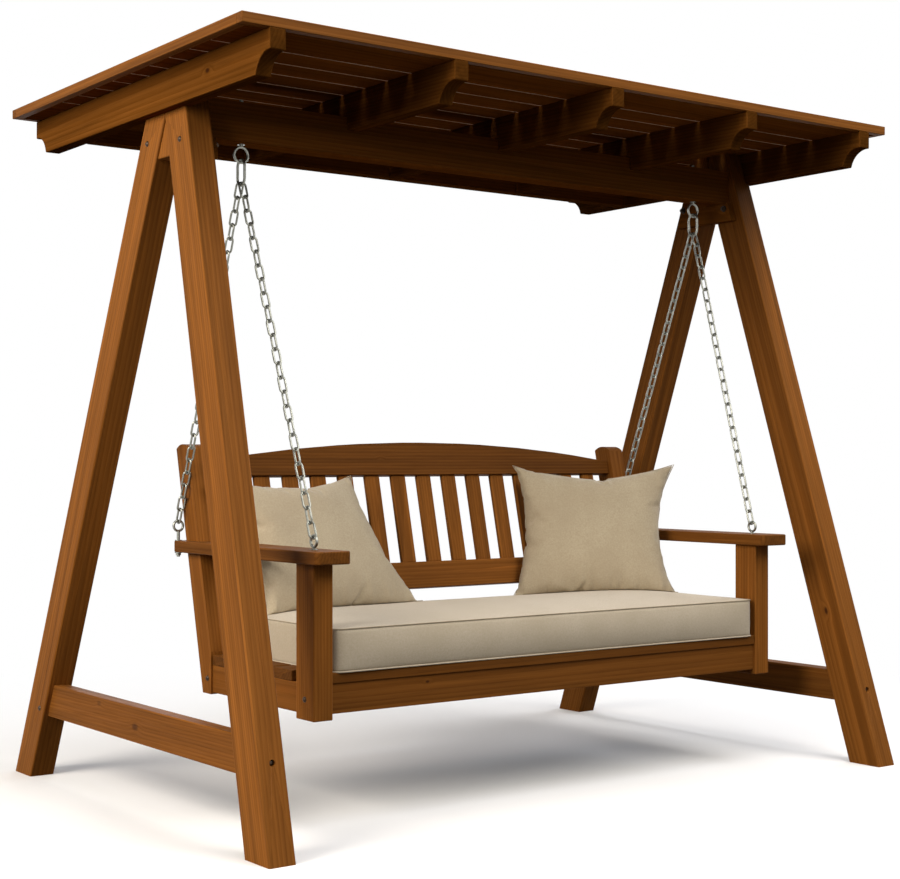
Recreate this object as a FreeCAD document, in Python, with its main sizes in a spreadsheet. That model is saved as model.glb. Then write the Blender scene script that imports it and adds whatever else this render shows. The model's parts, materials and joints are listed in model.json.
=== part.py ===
import FreeCAD, Part
import math
import os
import re

import Sketcher

# Canopy swing: two leaning A-frames carry a beam and a slatted roof, and a
# cushioned bench hangs from the beam on four chains.
# X runs along the roof, the sitter looks towards -Y, and Z is up from the floor.
# All lengths are in millimetres and all angles in degrees.

ROOF_SIZES = {
    "roof_height": 1897,
    "gable_overhang": 72,
    "roof_depth": 1326,
    "trim_side": 25,
    "slat_thickness": 20,
    "slat_width": 97,
    "slat_gap": 8,
    "trim_shadow_gap": 5,
    "rafter_depth": 97,
    "rafter_thickness": 42,
    "rafter_notch": 16.2,
    "rafter_nose": 49,
    "rafter_tail": 30,
    "cove_length": 66,
    "cove_radius": 60,
    "purlin_width": 45,
    "purlin_depth": 48,
    "purlin_rear_margin": 250,
    "slat_ease": 2,
    "overrun": 20,
}

FRAME_SIZES = {
    "frame_width": 2124,
    "lean_angle": 2.06,
    "leg_thickness": 70,
    "leg_width": 112,
    "foot_spread": 1452,
    "front_leg_head": 205,
    "rear_leg_head": 14,
    "leg_ease": 4,
    "wedge_thickness": 60,
    "wedge_recess": 5,
    "wedge_drop": 45,
    "cleat_thickness": 25,
    "cleat_depth": 53,
    "cleat_rise": 32,
    "cleat_margin": 28,
    "stretcher_low": 180,
    "stretcher_depth": 90,
    "stretcher_thickness": 45,
    "stretcher_set_in": 15,
    "stretcher_tenon": 60,
    "beam_front": 180.5,
    "beam_width": 70,
    "beam_depth": 101,
    "beam_housing": 36,
}

STEEL_SIZES = {
    "bolt_diameter": 8,
    "bolt_head_diameter": 15,
    "bolt_head_height": 5,
    "bolt_tip": 4,
    "bolt_hole_clearance": 0.2,
    "nut_across_corners": 16,
    "nut_height": 6.5,
    "washer_diameter": 20,
    "washer_thickness": 2,
    "apex_bolt_front_inset": 45.2,
    "apex_bolt_front_drop": 79,
    "apex_bolt_rear_inset": 41.7,
    "apex_bolt_rear_drop": 64,
    "stretcher_lag_rise": 219,
    "stretcher_lag_length": 150,
    "stretcher_lag_sink": 10,
    "seat_lag_length": 110,
    "tenon_bolt_rise": 200,
    "hanger_margin": 123.4,
    "eye_wire": 7,
    "eye_ring_radius": 20,
    "eye_shank_diameter": 9,
    "eye_drop": 27,
    "connector_wire": 7,
    "connector_length": 66,
    "connector_bend_radius": 18,
    "chain_wire": 5.5,
    "link_width": 19,
    "chain_pitch": 37.1,
    "steel_clearance": 0.3,
    "arm_eye_ring_radius": 14,
    "front_arm_eye_rise": 21,
    "rear_arm_eye_rise": 40,
    "front_arm_eye_depth": 80,
    "rear_arm_eye_inset": 14,
}

SEAT_SIZES = {
    "arm_overhang": 10,
    "arm_width": 100,
    "arm_thickness": 32,
    "arm_top": 680,
    "arm_front": 529,
    "arm_rear": 216,
    "arm_corner_radius": 13,
    "arm_ease": 4,
    "post_set_in": 24,
    "post_width": 55,
    "post_depth": 83,
    "post_front": 476,
    "post_low": 266,
    "stile_front": 42,
    "stile_depth": 72,
    "stile_low": 276,
    "stile_knee": 389,
    "stile_shoulder": 930,
    "stile_crown_radius": 56,
    "rake_angle": 13.2,
    "seat_rail_low": 280,
    "seat_rail_depth": 74,
    "front_rail_thickness": 65,
    "front_rail_recess": 10,
    "side_rail_thickness": 35,
    "side_rail_recess": 5,
    "rear_rail_thickness": 28,
    "bearer_width": 40,
    "bearer_offset": 250,
    "board_thickness": 27,
    "board_width": 95,
    "board_gap": 8.75,
    "board_front": 471,
    "board_set_in": 3,
    "back_rail_setback": 18,
    "back_rail_thickness": 32,
    "lower_rail_rise": 144,
    "lower_rail_depth": 77,
    "top_rail_rise": 484,
    "top_rail_end_depth": 41,
    "top_rail_arch": 58.5,
    "back_slat_width": 50,
    "back_slat_margin": 87,
    "back_slat_thickness": 14,
    "back_slat_setback": 27,
    "wood_ease": 3,
}

CUSHION_SIZES = {
    "soft_clearance": 0.3,
    "seat_cushion_side_gap": 6,
    "seat_cushion_front": 476,
    "seat_cushion_rear": 59,
    "seat_cushion_thickness": 102,
    "seat_cushion_crown": 12,
    "seat_cushion_draw": 7,
    "seat_cushion_corner": 30,
    "pillow_width": 490,
    "pillow_length": 410,
    "pillow_thickness": 118,
    "pillow_draw": 34,
    "right_pillow_inset": 244,
    "right_pillow_forward": 66,
    "right_pillow_turn": -31.4,
    "right_pillow_lean": 14,
    "right_pillow_slump": 0,
    "left_pillow_inset": 292,
    "left_pillow_forward": 71,
    "left_pillow_turn": 3,
    "left_pillow_lean": 29,
    "left_pillow_slump": 60,
}

# Where the rafters lie, as shares of the way from the middle out to an end rafter.
RAFTER_SHARES = (-1, -0.485, 0.025, 0.525, 1)

NARROW_SLAT_COUNT = 9
BOARD_COUNT = 5
BACK_SLAT_COUNT = 15

SIZES = {}
for table in (ROOF_SIZES, FRAME_SIZES, STEEL_SIZES, SEAT_SIZES, CUSHION_SIZES):
    SIZES.update(table)

# Places that follow from the sizes above, each written once.
WORKED = {
    "rafter_top": "roof_height - trim_side",
    "rafter_low": "rafter_top - rafter_depth",
    "frame_outer": "frame_width / 2",
    "lean_slope": "tan(lean_angle)",
    "end_rafter_inner": "frame_outer - lean_slope * rafter_low - rafter_notch",
    "end_rafter_place": "end_rafter_inner + rafter_thickness / 2",
    "roof_end": "end_rafter_inner + rafter_thickness + gable_overhang",
    "roof_front": "roof_depth / 2",
    "board_roof_edge": "roof_front - trim_side - trim_shadow_gap",
    "slat_pitch": "slat_width + slat_gap",
    "purlin_rear": "roof_front - purlin_rear_margin",
    "foot_reach": "foot_spread / 2",
    "front_leg_slope": "(foot_reach - front_leg_head) / rafter_low",
    "rear_leg_slope": "(foot_reach - rear_leg_head) / rafter_low",
    "leg_inner_reach": "frame_outer - leg_thickness / cos(lean_angle)",
    "crotch_height": "2 * (foot_reach - leg_width) / (front_leg_slope + rear_leg_slope)",
    "crotch_place": "front_leg_slope * crotch_height - foot_reach + leg_width",
    "beam_low": "rafter_low + beam_housing - beam_depth",
    "beam_top": "beam_low + beam_depth",
    "beam_middle": "beam_width / 2 - beam_front",
    "cleat_low": "beam_low - cleat_depth",
    "wedge_low": "beam_low - wedge_drop",
    "bolt_radius": "bolt_diameter / 2",
    "bolt_hole_radius": "bolt_radius + bolt_hole_clearance",
    "apex_bolt_front_rise": "rafter_low - apex_bolt_front_drop",
    "apex_bolt_rear_rise": "rafter_low - apex_bolt_rear_drop",
    "tenon_front": "foot_reach - leg_width - rear_leg_slope * tenon_bolt_rise",
    "tenon_bolt_place": "tenon_front + stretcher_tenon / 2",
    "eye_height": "beam_low - eye_drop",
    "pivot_height": "eye_height - eye_ring_radius",
    "hanger_offset": "leg_inner_reach - lean_slope * beam_low - hanger_margin",
    "arm_outer": "hanger_offset + arm_overhang",
    "arm_low": "arm_top - arm_thickness",
    "arm_inner": "arm_outer - arm_width",
    "post_outer": "arm_outer - post_set_in",
    "post_inner": "post_outer - post_width",
    "post_middle": "post_depth / 2 - post_front",
    "rake_slope": "tan(rake_angle)",
    "seat_rail_top": "seat_rail_low + seat_rail_depth",
    "seat_rail_middle": "seat_rail_low + seat_rail_depth / 2",
    "front_rail_front": "post_front - front_rail_recess",
    "rear_rail_front": "stile_front + side_rail_recess",
    "board_end": "post_outer - board_set_in",
    "board_top": "seat_rail_top + board_thickness",
    "board_pitch": "board_width + board_gap",
    "back_slat_pitch": "(post_inner - back_slat_margin) / %d" % (BACK_SLAT_COUNT // 2),
    "seat_cushion_half_length": "post_inner - seat_cushion_side_gap",
    "seat_cushion_low": "board_top + soft_clearance",
    "front_arm_eye_height": "arm_top + front_arm_eye_rise",
    "rear_arm_eye_height": "arm_top + rear_arm_eye_rise",
    "rear_arm_eye_place": "arm_rear - rear_arm_eye_inset",
}

document = FreeCAD.newDocument("canopy_swing")
nodes = []


def bound(text):
    """Return an expression with each named size pointing at the sheet that holds it."""

    def with_sheet(match):
        word = match.group(0)
        if word in SIZES:
            return "sizes." + word
        if word in WORKED:
            return "worked." + word
        return word

    return re.sub(r"[a-z_]+", with_sheet, text)


def fill_sheet(name, cells):
    """Make a sheet with a name beside each of its cells."""
    sheet = document.addObject("Spreadsheet::Sheet", name)
    for row, (alias, content) in enumerate(cells.items(), start=1):
        sheet.set("A%d" % row, alias)
        sheet.set("B%d" % row, content)
        sheet.setAlias("B%d" % row, alias)
    return sheet


sizes = fill_sheet("sizes", {alias: str(number) for alias, number in SIZES.items()})
worked = fill_sheet("worked", {alias: "=" + bound(text) for alias, text in WORKED.items()})
document.recompute()


def value(text):
    """Return the number that an expression of named sizes comes to."""
    return float(sizes.evalExpression(bound(text)))


def node(piece, label):
    """Name a finished piece and list it for writing."""
    piece.Label = label
    nodes.append(piece)
    return piece


def place(piece, x="0", y="0", z="0", axis=(0, 0, 1), angle="0"):
    """Bind a piece's place, and its turn about one axis, to the sheet."""
    piece.Placement = FreeCAD.Placement(FreeCAD.Vector(), FreeCAD.Rotation(FreeCAD.Vector(*axis), 1))
    piece.setExpression("Placement.Base.x", bound(x))
    piece.setExpression("Placement.Base.y", bound(y))
    piece.setExpression("Placement.Base.z", bound(z))
    piece.setExpression("Placement.Rotation.Angle", bound(angle))
    return piece


def bowed_edge(start, end, radius):
    """Return an arc between two points; a positive radius bows it to the right of the way."""
    chord = end - start
    half = chord.Length / 2
    rise = abs(radius) - math.sqrt(radius * radius - half * half)
    across = FreeCAD.Vector(chord.y, -chord.x, 0).normalize() * math.copysign(rise, radius)
    return Part.Arc(start, start + chord / 2 + across, end)


def draw_outline(body, plane_role, corners):
    """Draw a closed outline on one of a body's planes, every corner bound to the sheet.

    Each corner is (across, up), or (across, up, radius) where the edge after it is an arc.
    """
    plane = [item for item in body.Origin.OriginFeatures if item.Role == plane_role][0]
    sketch = body.newObject("Sketcher::SketchObject", body.Name + "_outline")
    sketch.AttachmentSupport = [(plane, "")]
    sketch.MapMode = "FlatFace"
    points = [FreeCAD.Vector(value(corner[0]), value(corner[1]), 0) for corner in corners]
    ends = []
    for index, corner in enumerate(corners):
        start = points[index]
        end = points[(index + 1) % len(points)]
        if len(corner) == 3:
            sketch.addGeometry(bowed_edge(start, end, value(corner[2])), False)
        else:
            sketch.addGeometry(Part.LineSegment(start, end), False)
        near = sketch.getPoint(index, 1)
        ends.append((1, 2) if near.distanceToPoint(start) < near.distanceToPoint(end) else (2, 1))
    for index, corner in enumerate(corners):
        following = (index + 1) % len(corners)
        meeting = (index, ends[index][1], following, ends[following][0])
        sketch.addConstraint(Sketcher.Constraint("Coincident", *meeting))
    for index, corner in enumerate(corners):
        start = ends[index][0]
        for kind, text, number in (
            ("DistanceX", corner[0], points[index].x),
            ("DistanceY", corner[1], points[index].y),
        ):
            constraint = sketch.addConstraint(Sketcher.Constraint(kind, -1, 1, index, start, number))
            sketch.setExpression("Constraints[%d]" % constraint, bound(text))
        if len(corner) == 3:
            constraint = sketch.addConstraint(Sketcher.Constraint("Radius", index, abs(value(corner[2]))))
            sketch.setExpression("Constraints[%d]" % constraint, bound("abs(%s)" % corner[2]))
    return sketch


PLANES = {"YZ": ("YZ_Plane", "x"), "XZ": ("XZ_Plane", "y"), "XY": ("XY_Plane", "z")}


def ease_edges(body, base, chosen, radius):
    """Round the chosen edges of a body's last feature."""
    for item in body.Group:
        item.recompute()
    names = ["Edge%d" % (index + 1) for index, edge in enumerate(base.Shape.Edges) if chosen(edge)]
    fillet = body.newObject("PartDesign::Fillet", base.Name + "_eased")
    fillet.Base = (base, names)
    fillet.setExpression("Radius", bound(radius))
    body.Tip = fillet
    return fillet


def prism(name, plane, corners, thickness, start="0", ease=None):
    """Make a body from an outline, as thick as said, its near face at start along the third axis.

    The long edges of the outline are eased on both faces where a radius is given.
    """
    body = document.addObject("PartDesign::Body", name)
    role, axis = PLANES[plane]
    sketch = draw_outline(body, role, corners)
    pad = body.newObject("PartDesign::Pad", name + "_pad")
    pad.Profile = sketch
    pad.setExpression("Length", bound(thickness))
    pad.Reversed = plane == "XZ"
    if ease:
        ease_edges(body, pad, lambda edge: getattr(edge.BoundBox, axis.upper() + "Length") < 1e-6, ease)
    place(body, **{axis: start})
    return body


def block(name, low, extent, ease=None):
    """Make a rectangular body from its low corner and its extent along X, Y and Z."""
    body = document.addObject("PartDesign::Body", name)
    box = body.newObject("PartDesign::AdditiveBox", name + "_box")
    box.setExpression("Length", bound(extent[0]))
    box.setExpression("Width", bound(extent[1]))
    box.setExpression("Height", bound(extent[2]))
    if ease:
        ease_edges(body, box, lambda edge: True, ease)
    return place(body, *low)


def turned(name, outline, where):
    """Make a body by turning an outline of (radius, height) corners about its own Z axis."""
    body = document.addObject("PartDesign::Body", name)
    sketch = draw_outline(body, "XZ_Plane", outline)
    turning = body.newObject("PartDesign::Revolution", name + "_turning")
    turning.Profile = sketch
    turning.ReferenceAxis = (sketch, ["V_Axis"])
    turning.Angle = 360
    return place(body, **where)


def fused(name, parts):
    """Join several shapes into one."""
    joined = document.addObject("Part::MultiFuse", name)
    joined.Shapes = parts
    return joined


def carved(name, blank, cutters):
    """Cut the cutters out of a blank."""
    cut = document.addObject("Part::Cut", name)
    cut.Base = blank
    cut.Tool = cutters[0] if len(cutters) == 1 else fused(name + "_cutters", cutters)
    return cut


def group(label, members):
    """List several separate solids as one node."""
    holder = document.addObject("Part::Compound", label)
    holder.Links = members
    return node(holder, label)


def washer(name, low, bore, where):
    """Make a washer about its own Z axis, its lower face at low."""
    outer = "washer_diameter / 2"
    high = "%s + washer_thickness" % low
    return turned(name, [(bore, low), (outer, low), (outer, high), (bore, high)], where)


def nut(name, low, bore, where):
    """Make a six-sided nut about its own Z axis, its lower face at low."""
    body = document.addObject("PartDesign::Body", name)
    reach = "nut_across_corners / 2"
    turns = range(0, 360, 60)
    corners = [("%s * cos(%d)" % (reach, turn), "%s * sin(%d)" % (reach, turn)) for turn in turns]
    sketch = draw_outline(body, "XY_Plane", corners)
    circle = sketch.addGeometry(Part.Circle(FreeCAD.Vector(), FreeCAD.Vector(0, 0, 1), value(bore)), False)
    sketch.addConstraint(Sketcher.Constraint("Coincident", circle, 3, -1, 1))
    constraint = sketch.addConstraint(Sketcher.Constraint("Radius", circle, value(bore)))
    sketch.setExpression("Constraints[%d]" % constraint, bound(bore))
    sketch.setExpression("AttachmentOffset.Base.z", bound(low))
    pad = body.newObject("PartDesign::Pad", name + "_pad")
    pad.Profile = sketch
    pad.setExpression("Length", bound("nut_height"))
    return place(body, **where)


def bolt_hole(name, low, head_radius, where):
    """Make the cutter for a bolt: its shank's hole below height zero, and room for its head above."""
    corners = [
        ("0", low),
        ("bolt_hole_radius", low),
        ("bolt_hole_radius", "0"),
        (head_radius, "0"),
        (head_radius, "2 * overrun"),
        ("0", "2 * overrun"),
    ]
    return turned(name, corners, where)


def domed_bolt(name, tip, where):
    """Make a bolt with a domed head; its head bears at height zero and its shank ends at tip."""
    dome = "(bolt_head_diameter^2 / 4 + bolt_head_height^2) / (2 * bolt_head_height)"
    corners = [
        ("0", tip),
        ("bolt_radius", tip),
        ("bolt_radius", "0"),
        ("bolt_head_diameter / 2", "0", dome),
        ("0", "bolt_head_height"),
    ]
    return turned(name, corners, where)


def nutted_bolt(name, grip, where):
    """Make a bolt with its washer and nut, and the cutter for its hole."""
    washer_low = "-(%s) - washer_thickness" % grip
    nut_low = "%s - nut_height" % washer_low
    tip = "%s - bolt_tip" % nut_low
    pieces = [
        domed_bolt(name, tip, where),
        washer(name + "_washer", washer_low, "bolt_hole_radius", where),
        nut(name + "_nut", nut_low, "bolt_hole_radius", where),
    ]
    return pieces, bolt_hole(name + "_hole", tip, "bolt_hole_radius + bolt_hole_clearance", where)


def lag_bolt(name, length, where):
    """Make a bolt that bites into end grain, and the cutter for its hole and sunk head."""
    head_room = "bolt_head_diameter / 2 + bolt_hole_clearance"
    tip = "-(%s)" % length
    return domed_bolt(name, tip, where), bolt_hole(name + "_hole", tip, head_room, where)


def shank_hole(name, x, y, low, length):
    """Make the upright cutter for an eye bolt's shank."""
    cutter = place(document.addObject("Part::Cylinder", name), x, y, low)
    cutter.setExpression("Radius", bound("eye_shank_diameter / 2 + bolt_hole_clearance"))
    cutter.setExpression("Height", bound(length))
    return cutter


def eye(name, x, y, z, ring_radius, ring_axis, shank_low, shank_length):
    """Make an eye with its upright shank; its ring stands square to ring_axis about (x, y, z)."""
    ring = place(document.addObject("Part::Torus", name + "_ring"), x, y, z, ring_axis, "90")
    ring.setExpression("Radius1", bound(ring_radius))
    ring.setExpression("Radius2", bound("eye_wire / 2"))
    shank = place(document.addObject("Part::Cylinder", name + "_shank"), x, y, shank_low)
    shank.setExpression("Radius", bound("eye_shank_diameter / 2"))
    shank.setExpression("Height", bound(shank_length))
    return fused(name, [ring, shank])


SIDES = {"left": "-", "right": ""}
HANDS = {"left": -1, "right": 1}


def from_side(side, outer, width):
    """Return where a piece starts along X when its outer face is at outer on the named side."""
    return "-(%s)" % outer if side == "left" else "%s - (%s)" % (outer, width)


def lean(body, side, set_in, thickness):
    """Stand a piece in the leaning plane of one A-frame, set in from its outer face."""
    inward = set_in if side == "left" else "%s + %s" % (set_in, thickness)
    return place(
        body,
        x="%s(frame_outer - (%s) * cos(lean_angle))" % (SIDES[side], inward),
        z="-(%s) * sin(lean_angle)" % inward,
        axis=(0, 1, 0),
        angle="lean_angle" if side == "left" else "-lean_angle",
    )


def through_frame(side, y, z):
    """Return the place of a bolt that goes square through one A-frame from its outer face."""
    return {
        "x": "%s(frame_outer - lean_slope * (%s))" % (SIDES[side], z),
        "y": y,
        "z": z,
        "axis": (0, 1, 0),
        "angle": "lean_angle - 90" if side == "left" else "90 - lean_angle",
    }


def front_leg_front(height):
    """Return the place along Y of the front legs' front edge at a height."""
    return "front_leg_slope * (%s) - foot_reach" % height


def front_leg_rear(height):
    """Return the place along Y of the front legs' rear edge at a height."""
    return "front_leg_slope * (%s) - foot_reach + leg_width" % height


def rear_leg_front(height):
    """Return the place along Y of the rear legs' front edge at a height."""
    return "foot_reach - leg_width - rear_leg_slope * (%s)" % height


def rear_leg_rear(height):
    """Return the place along Y of the rear legs' rear edge at a height."""
    return "foot_reach - rear_leg_slope * (%s)" % height


def make_beam():
    """Make the beam between the legs' inner faces, its ends sloped to meet them, and its eye bolts."""
    corners = []
    for sign, height in (("-", "beam_low"), ("", "beam_low"), ("", "beam_top"), ("-", "beam_top")):
        corners.append(("%s(leg_inner_reach - lean_slope * %s)" % (sign, height), height))
    blank = prism("beam_blank", "XZ", corners, "beam_width", "-beam_front")
    holes = []
    for side, sign in SIDES.items():
        x = sign + "hanger_offset"
        name = side + "_eye_bolt"
        above = "washer_thickness + nut_height + bolt_tip"
        shank_length = "eye_drop - eye_ring_radius + beam_depth + " + above
        bore = "eye_shank_diameter / 2 + bolt_hole_clearance"
        axis = {"x": x, "y": "beam_middle"}
        members = [
            eye(name + "_eye", x, "beam_middle", "eye_height", "eye_ring_radius", (1, 0, 0),
                "eye_height + eye_ring_radius", shank_length),
            washer(name + "_collar", "-washer_thickness", bore, dict(axis, z="beam_low")),
            washer(name + "_washer", "0", bore, dict(axis, z="beam_top")),
            nut(name + "_nut", "washer_thickness", bore, dict(axis, z="beam_top")),
        ]
        group(name, members)
        holes.append(
            shank_hole(name + "_hole", x, "beam_middle", "beam_low - overrun", "beam_depth + 2 * overrun")
        )
    return node(carved("beam", blank, holes), "main_beam")


def make_frames():
    """Make both A-frames: legs, stretcher, crotch wedge, beam cleat and their bolts."""
    apex_bolts = []
    stretcher_bolts = []
    low = "-overrun"
    high = "rafter_top + overrun"
    for side, sign in SIDES.items():
        keep = document.addObject("Part::Box", side + "_frame_height")
        place(keep, "-frame_outer", "-foot_reach - overrun")
        keep.setExpression("Length", bound("2 * frame_outer"))
        keep.setExpression("Width", bound("2 * (foot_reach + overrun)"))
        keep.setExpression("Height", bound("rafter_top"))
        shoulder = place(
            document.addObject("Part::Box", side + "_shoulder"),
            from_side(side, "frame_outer", "frame_outer - end_rafter_inner"), "-roof_front", "rafter_low",
        )
        shoulder.setExpression("Length", bound("frame_outer - end_rafter_inner"))
        shoulder.setExpression("Width", bound("roof_depth"))
        shoulder.setExpression("Height", bound("rafter_depth + overrun"))
        stretcher_high = "stretcher_low + stretcher_depth"
        stretcher_blank = prism(
            side + "_stretcher_blank", "YZ",
            [
                (front_leg_rear("stretcher_low"), "stretcher_low"),
                (rear_leg_front("stretcher_low") + " + stretcher_tenon", "stretcher_low"),
                (rear_leg_front(stretcher_high) + " + stretcher_tenon", stretcher_high),
                (front_leg_rear(stretcher_high), stretcher_high),
            ],
            "stretcher_thickness", ease="wood_ease",
        )
        lean(stretcher_blank, side, "stretcher_set_in", "stretcher_thickness")
        grip = "leg_thickness + cleat_thickness"
        front_place = front_leg_front("apex_bolt_front_rise") + " + apex_bolt_front_inset"
        front_bolt, front_hole = nutted_bolt(
            side + "_front_apex_bolt", grip, through_frame(side, front_place, "apex_bolt_front_rise")
        )
        rear_place = rear_leg_rear("apex_bolt_rear_rise") + " - apex_bolt_rear_inset"
        rear_bolt, rear_hole = nutted_bolt(
            side + "_rear_apex_bolt", grip, through_frame(side, rear_place, "apex_bolt_rear_rise")
        )
        tenon_bolt, tenon_hole = nutted_bolt(
            side + "_tenon_bolt", "leg_thickness", through_frame(side, "tenon_bolt_place", "tenon_bolt_rise")
        )
        lag_set_in = "lean_slope * stretcher_lag_rise + stretcher_set_in + stretcher_thickness / 2"
        lag, lag_hole = lag_bolt(
            side + "_stretcher_lag", "stretcher_lag_length",
            {
                "x": "%s(frame_outer - (%s))" % (sign, lag_set_in),
                "y": front_leg_front("stretcher_lag_rise") + " + stretcher_lag_sink",
                "z": "stretcher_lag_rise",
                "axis": (1, 0, 0),
                "angle": "90",
            },
        )
        apex_bolts += front_bolt + rear_bolt
        stretcher_bolts += tenon_bolt + [lag]
        front_blank = prism(
            side + "_front_leg_blank", "YZ",
            [
                (front_leg_front(low), low),
                (front_leg_rear(low), low),
                ("crotch_place", "crotch_height"),
                ("crotch_place", high),
                (front_leg_front(high), high),
            ],
            "leg_thickness", ease="leg_ease",
        )
        rear_blank = prism(
            side + "_rear_leg_blank", "YZ",
            [
                (rear_leg_front(low), low),
                (rear_leg_rear(low), low),
                (rear_leg_rear(high), high),
                ("crotch_place", high),
                ("crotch_place", "crotch_height"),
            ],
            "leg_thickness", ease="leg_ease",
        )
        for blank, label, cutters in (
            (front_blank, side + "_front_leg", [shoulder, front_hole, lag_hole]),
            (rear_blank, side + "_rear_leg", [shoulder, rear_hole, tenon_hole, stretcher_blank]),
        ):
            lean(blank, side, "0", "leg_thickness")
            stock = document.addObject("Part::Common", label + "_stock")
            stock.Base = blank
            stock.Tool = keep
            node(carved(label + "_cut", stock, cutters), label)
        node(carved(side + "_stretcher_cut", stretcher_blank, [lag_hole, tenon_hole]), side + "_stretcher")
        wedge = prism(
            side + "_wedge", "YZ",
            [
                (front_leg_rear("wedge_low"), "wedge_low"),
                (rear_leg_front("wedge_low"), "wedge_low"),
                ("crotch_place", "crotch_height"),
            ],
            "wedge_thickness",
        )
        node(lean(wedge, side, "wedge_recess", "wedge_thickness"), side + "_apex_wedge")
        cleat_high = "beam_low + cleat_rise"
        cleat_blank = prism(
            side + "_cleat_blank", "YZ",
            [
                (front_leg_front("cleat_low") + " + cleat_margin", "cleat_low"),
                (rear_leg_rear("cleat_low") + " - cleat_margin", "cleat_low"),
                (rear_leg_rear(cleat_high) + " - cleat_margin", cleat_high),
                (front_leg_front(cleat_high) + " + cleat_margin", cleat_high),
            ],
            "cleat_thickness", ease="wood_ease",
        )
        lean(cleat_blank, side, "leg_thickness", "cleat_thickness")
        seat = document.addObject("Part::Box", side + "_cleat_seat")
        place(seat, "-frame_outer", "-foot_reach", "beam_low")
        seat.setExpression("Length", bound("2 * frame_outer"))
        seat.setExpression("Width", bound("foot_reach - beam_front + beam_width"))
        seat.setExpression("Height", bound("beam_depth"))
        node(carved(side + "_cleat_cut", cleat_blank, [seat, front_hole, rear_hole]), side + "_beam_cleat")
    group("apex_bolts", apex_bolts)
    group("stretcher_bolts", stretcher_bolts)


def make_roof(beam):
    """Make the rafters, the purlin, the slats with a wide board front and rear, and the edge trims."""
    purlin = block(
        "purlin",
        ("-end_rafter_inner", "purlin_rear - purlin_width", "rafter_low"),
        ("2 * end_rafter_inner", "purlin_width", "purlin_depth"),
    )
    node(purlin, "rear_purlin")
    nose = "rafter_top - rafter_nose"
    front_end = [
        ("roof_front", "rafter_top"),
        ("-roof_front", "rafter_top"),
        ("-roof_front", nose, "-cove_radius"),
        ("cove_length - roof_front", "rafter_low"),
    ]
    coved_end = [
        ("roof_front - cove_length", "rafter_low", "-cove_radius"),
        ("roof_front", nose),
    ]
    purlin_front = "purlin_rear - purlin_width"
    purlin_high = "rafter_low + purlin_depth"
    seated_end = [
        (purlin_front, "rafter_low"),
        (purlin_front, purlin_high),
        ("purlin_rear", purlin_high),
        ("roof_front", "rafter_top - rafter_tail"),
    ]
    for number, share in enumerate(RAFTER_SHARES, start=1):
        name = "rafter_%d" % number
        start = "%r * end_rafter_place - rafter_thickness / 2" % share
        inner = abs(share) < 1
        corners = front_end + (seated_end if inner else coved_end)
        rafter = prism(name + "_blank", "YZ", corners, "rafter_thickness", start)
        if inner:
            rafter = carved(name + "_cut", rafter, [beam])
        node(rafter, name)
    board_end = "roof_end - trim_side"
    slats = []
    for number in range(NARROW_SLAT_COUNT):
        low = "%d * slat_pitch - slat_width / 2" % (number - NARROW_SLAT_COUNT // 2)
        slats.append(
            block("roof_slat_%d" % (number + 1), ("-(%s)" % board_end, low, "rafter_top"),
                  ("2 * (%s)" % board_end, "slat_width", "slat_thickness"), ease="slat_ease")
        )
    group("roof_slats", slats)
    wide_start = "%d * slat_pitch + slat_width / 2 + slat_gap" % (NARROW_SLAT_COUNT // 2)
    wide = "board_roof_edge - (%s)" % wide_start
    for label, low in (("front_roof_board", "-board_roof_edge"), ("rear_roof_board", wide_start)):
        extent = ("2 * (%s)" % board_end, wide, "slat_thickness")
        node(block(label, ("-(%s)" % board_end, low, "rafter_top"), extent, ease="slat_ease"), label)
    for label, low in (("roof_front_edge", "-roof_front"), ("roof_rear_edge", "roof_front - trim_side")):
        node(
            block(label, ("-roof_end", low, "rafter_top"), ("2 * roof_end", "trim_side", "trim_side"),
                  ease="slat_ease"),
            label,
        )
    for side in SIDES:
        label = "roof_%s_edge" % side
        low = (from_side(side, "roof_end", "trim_side"), "trim_side - roof_front", "rafter_top")
        extent = ("trim_side", "roof_depth - 2 * trim_side", "trim_side")
        node(block(label, low, extent, ease="slat_ease"), label)


def stile_front(height):
    """Return the place along Y of the leaning front edge of the back posts at a height."""
    return "stile_front + rake_slope * (%s - stile_knee)" % height


def raked(body, across, setback, rise):
    """Stand a piece in the leaning plane of the back, set behind the stiles' front faces."""
    return place(
        body,
        x=across,
        y="stile_front + (%s) * cos(rake_angle) + (%s) * sin(rake_angle)" % (setback, rise),
        z="stile_knee - (%s) * sin(rake_angle) + (%s) * cos(rake_angle)" % (setback, rise),
        axis=(1, 0, 0),
        angle="-rake_angle",
    )


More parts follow.
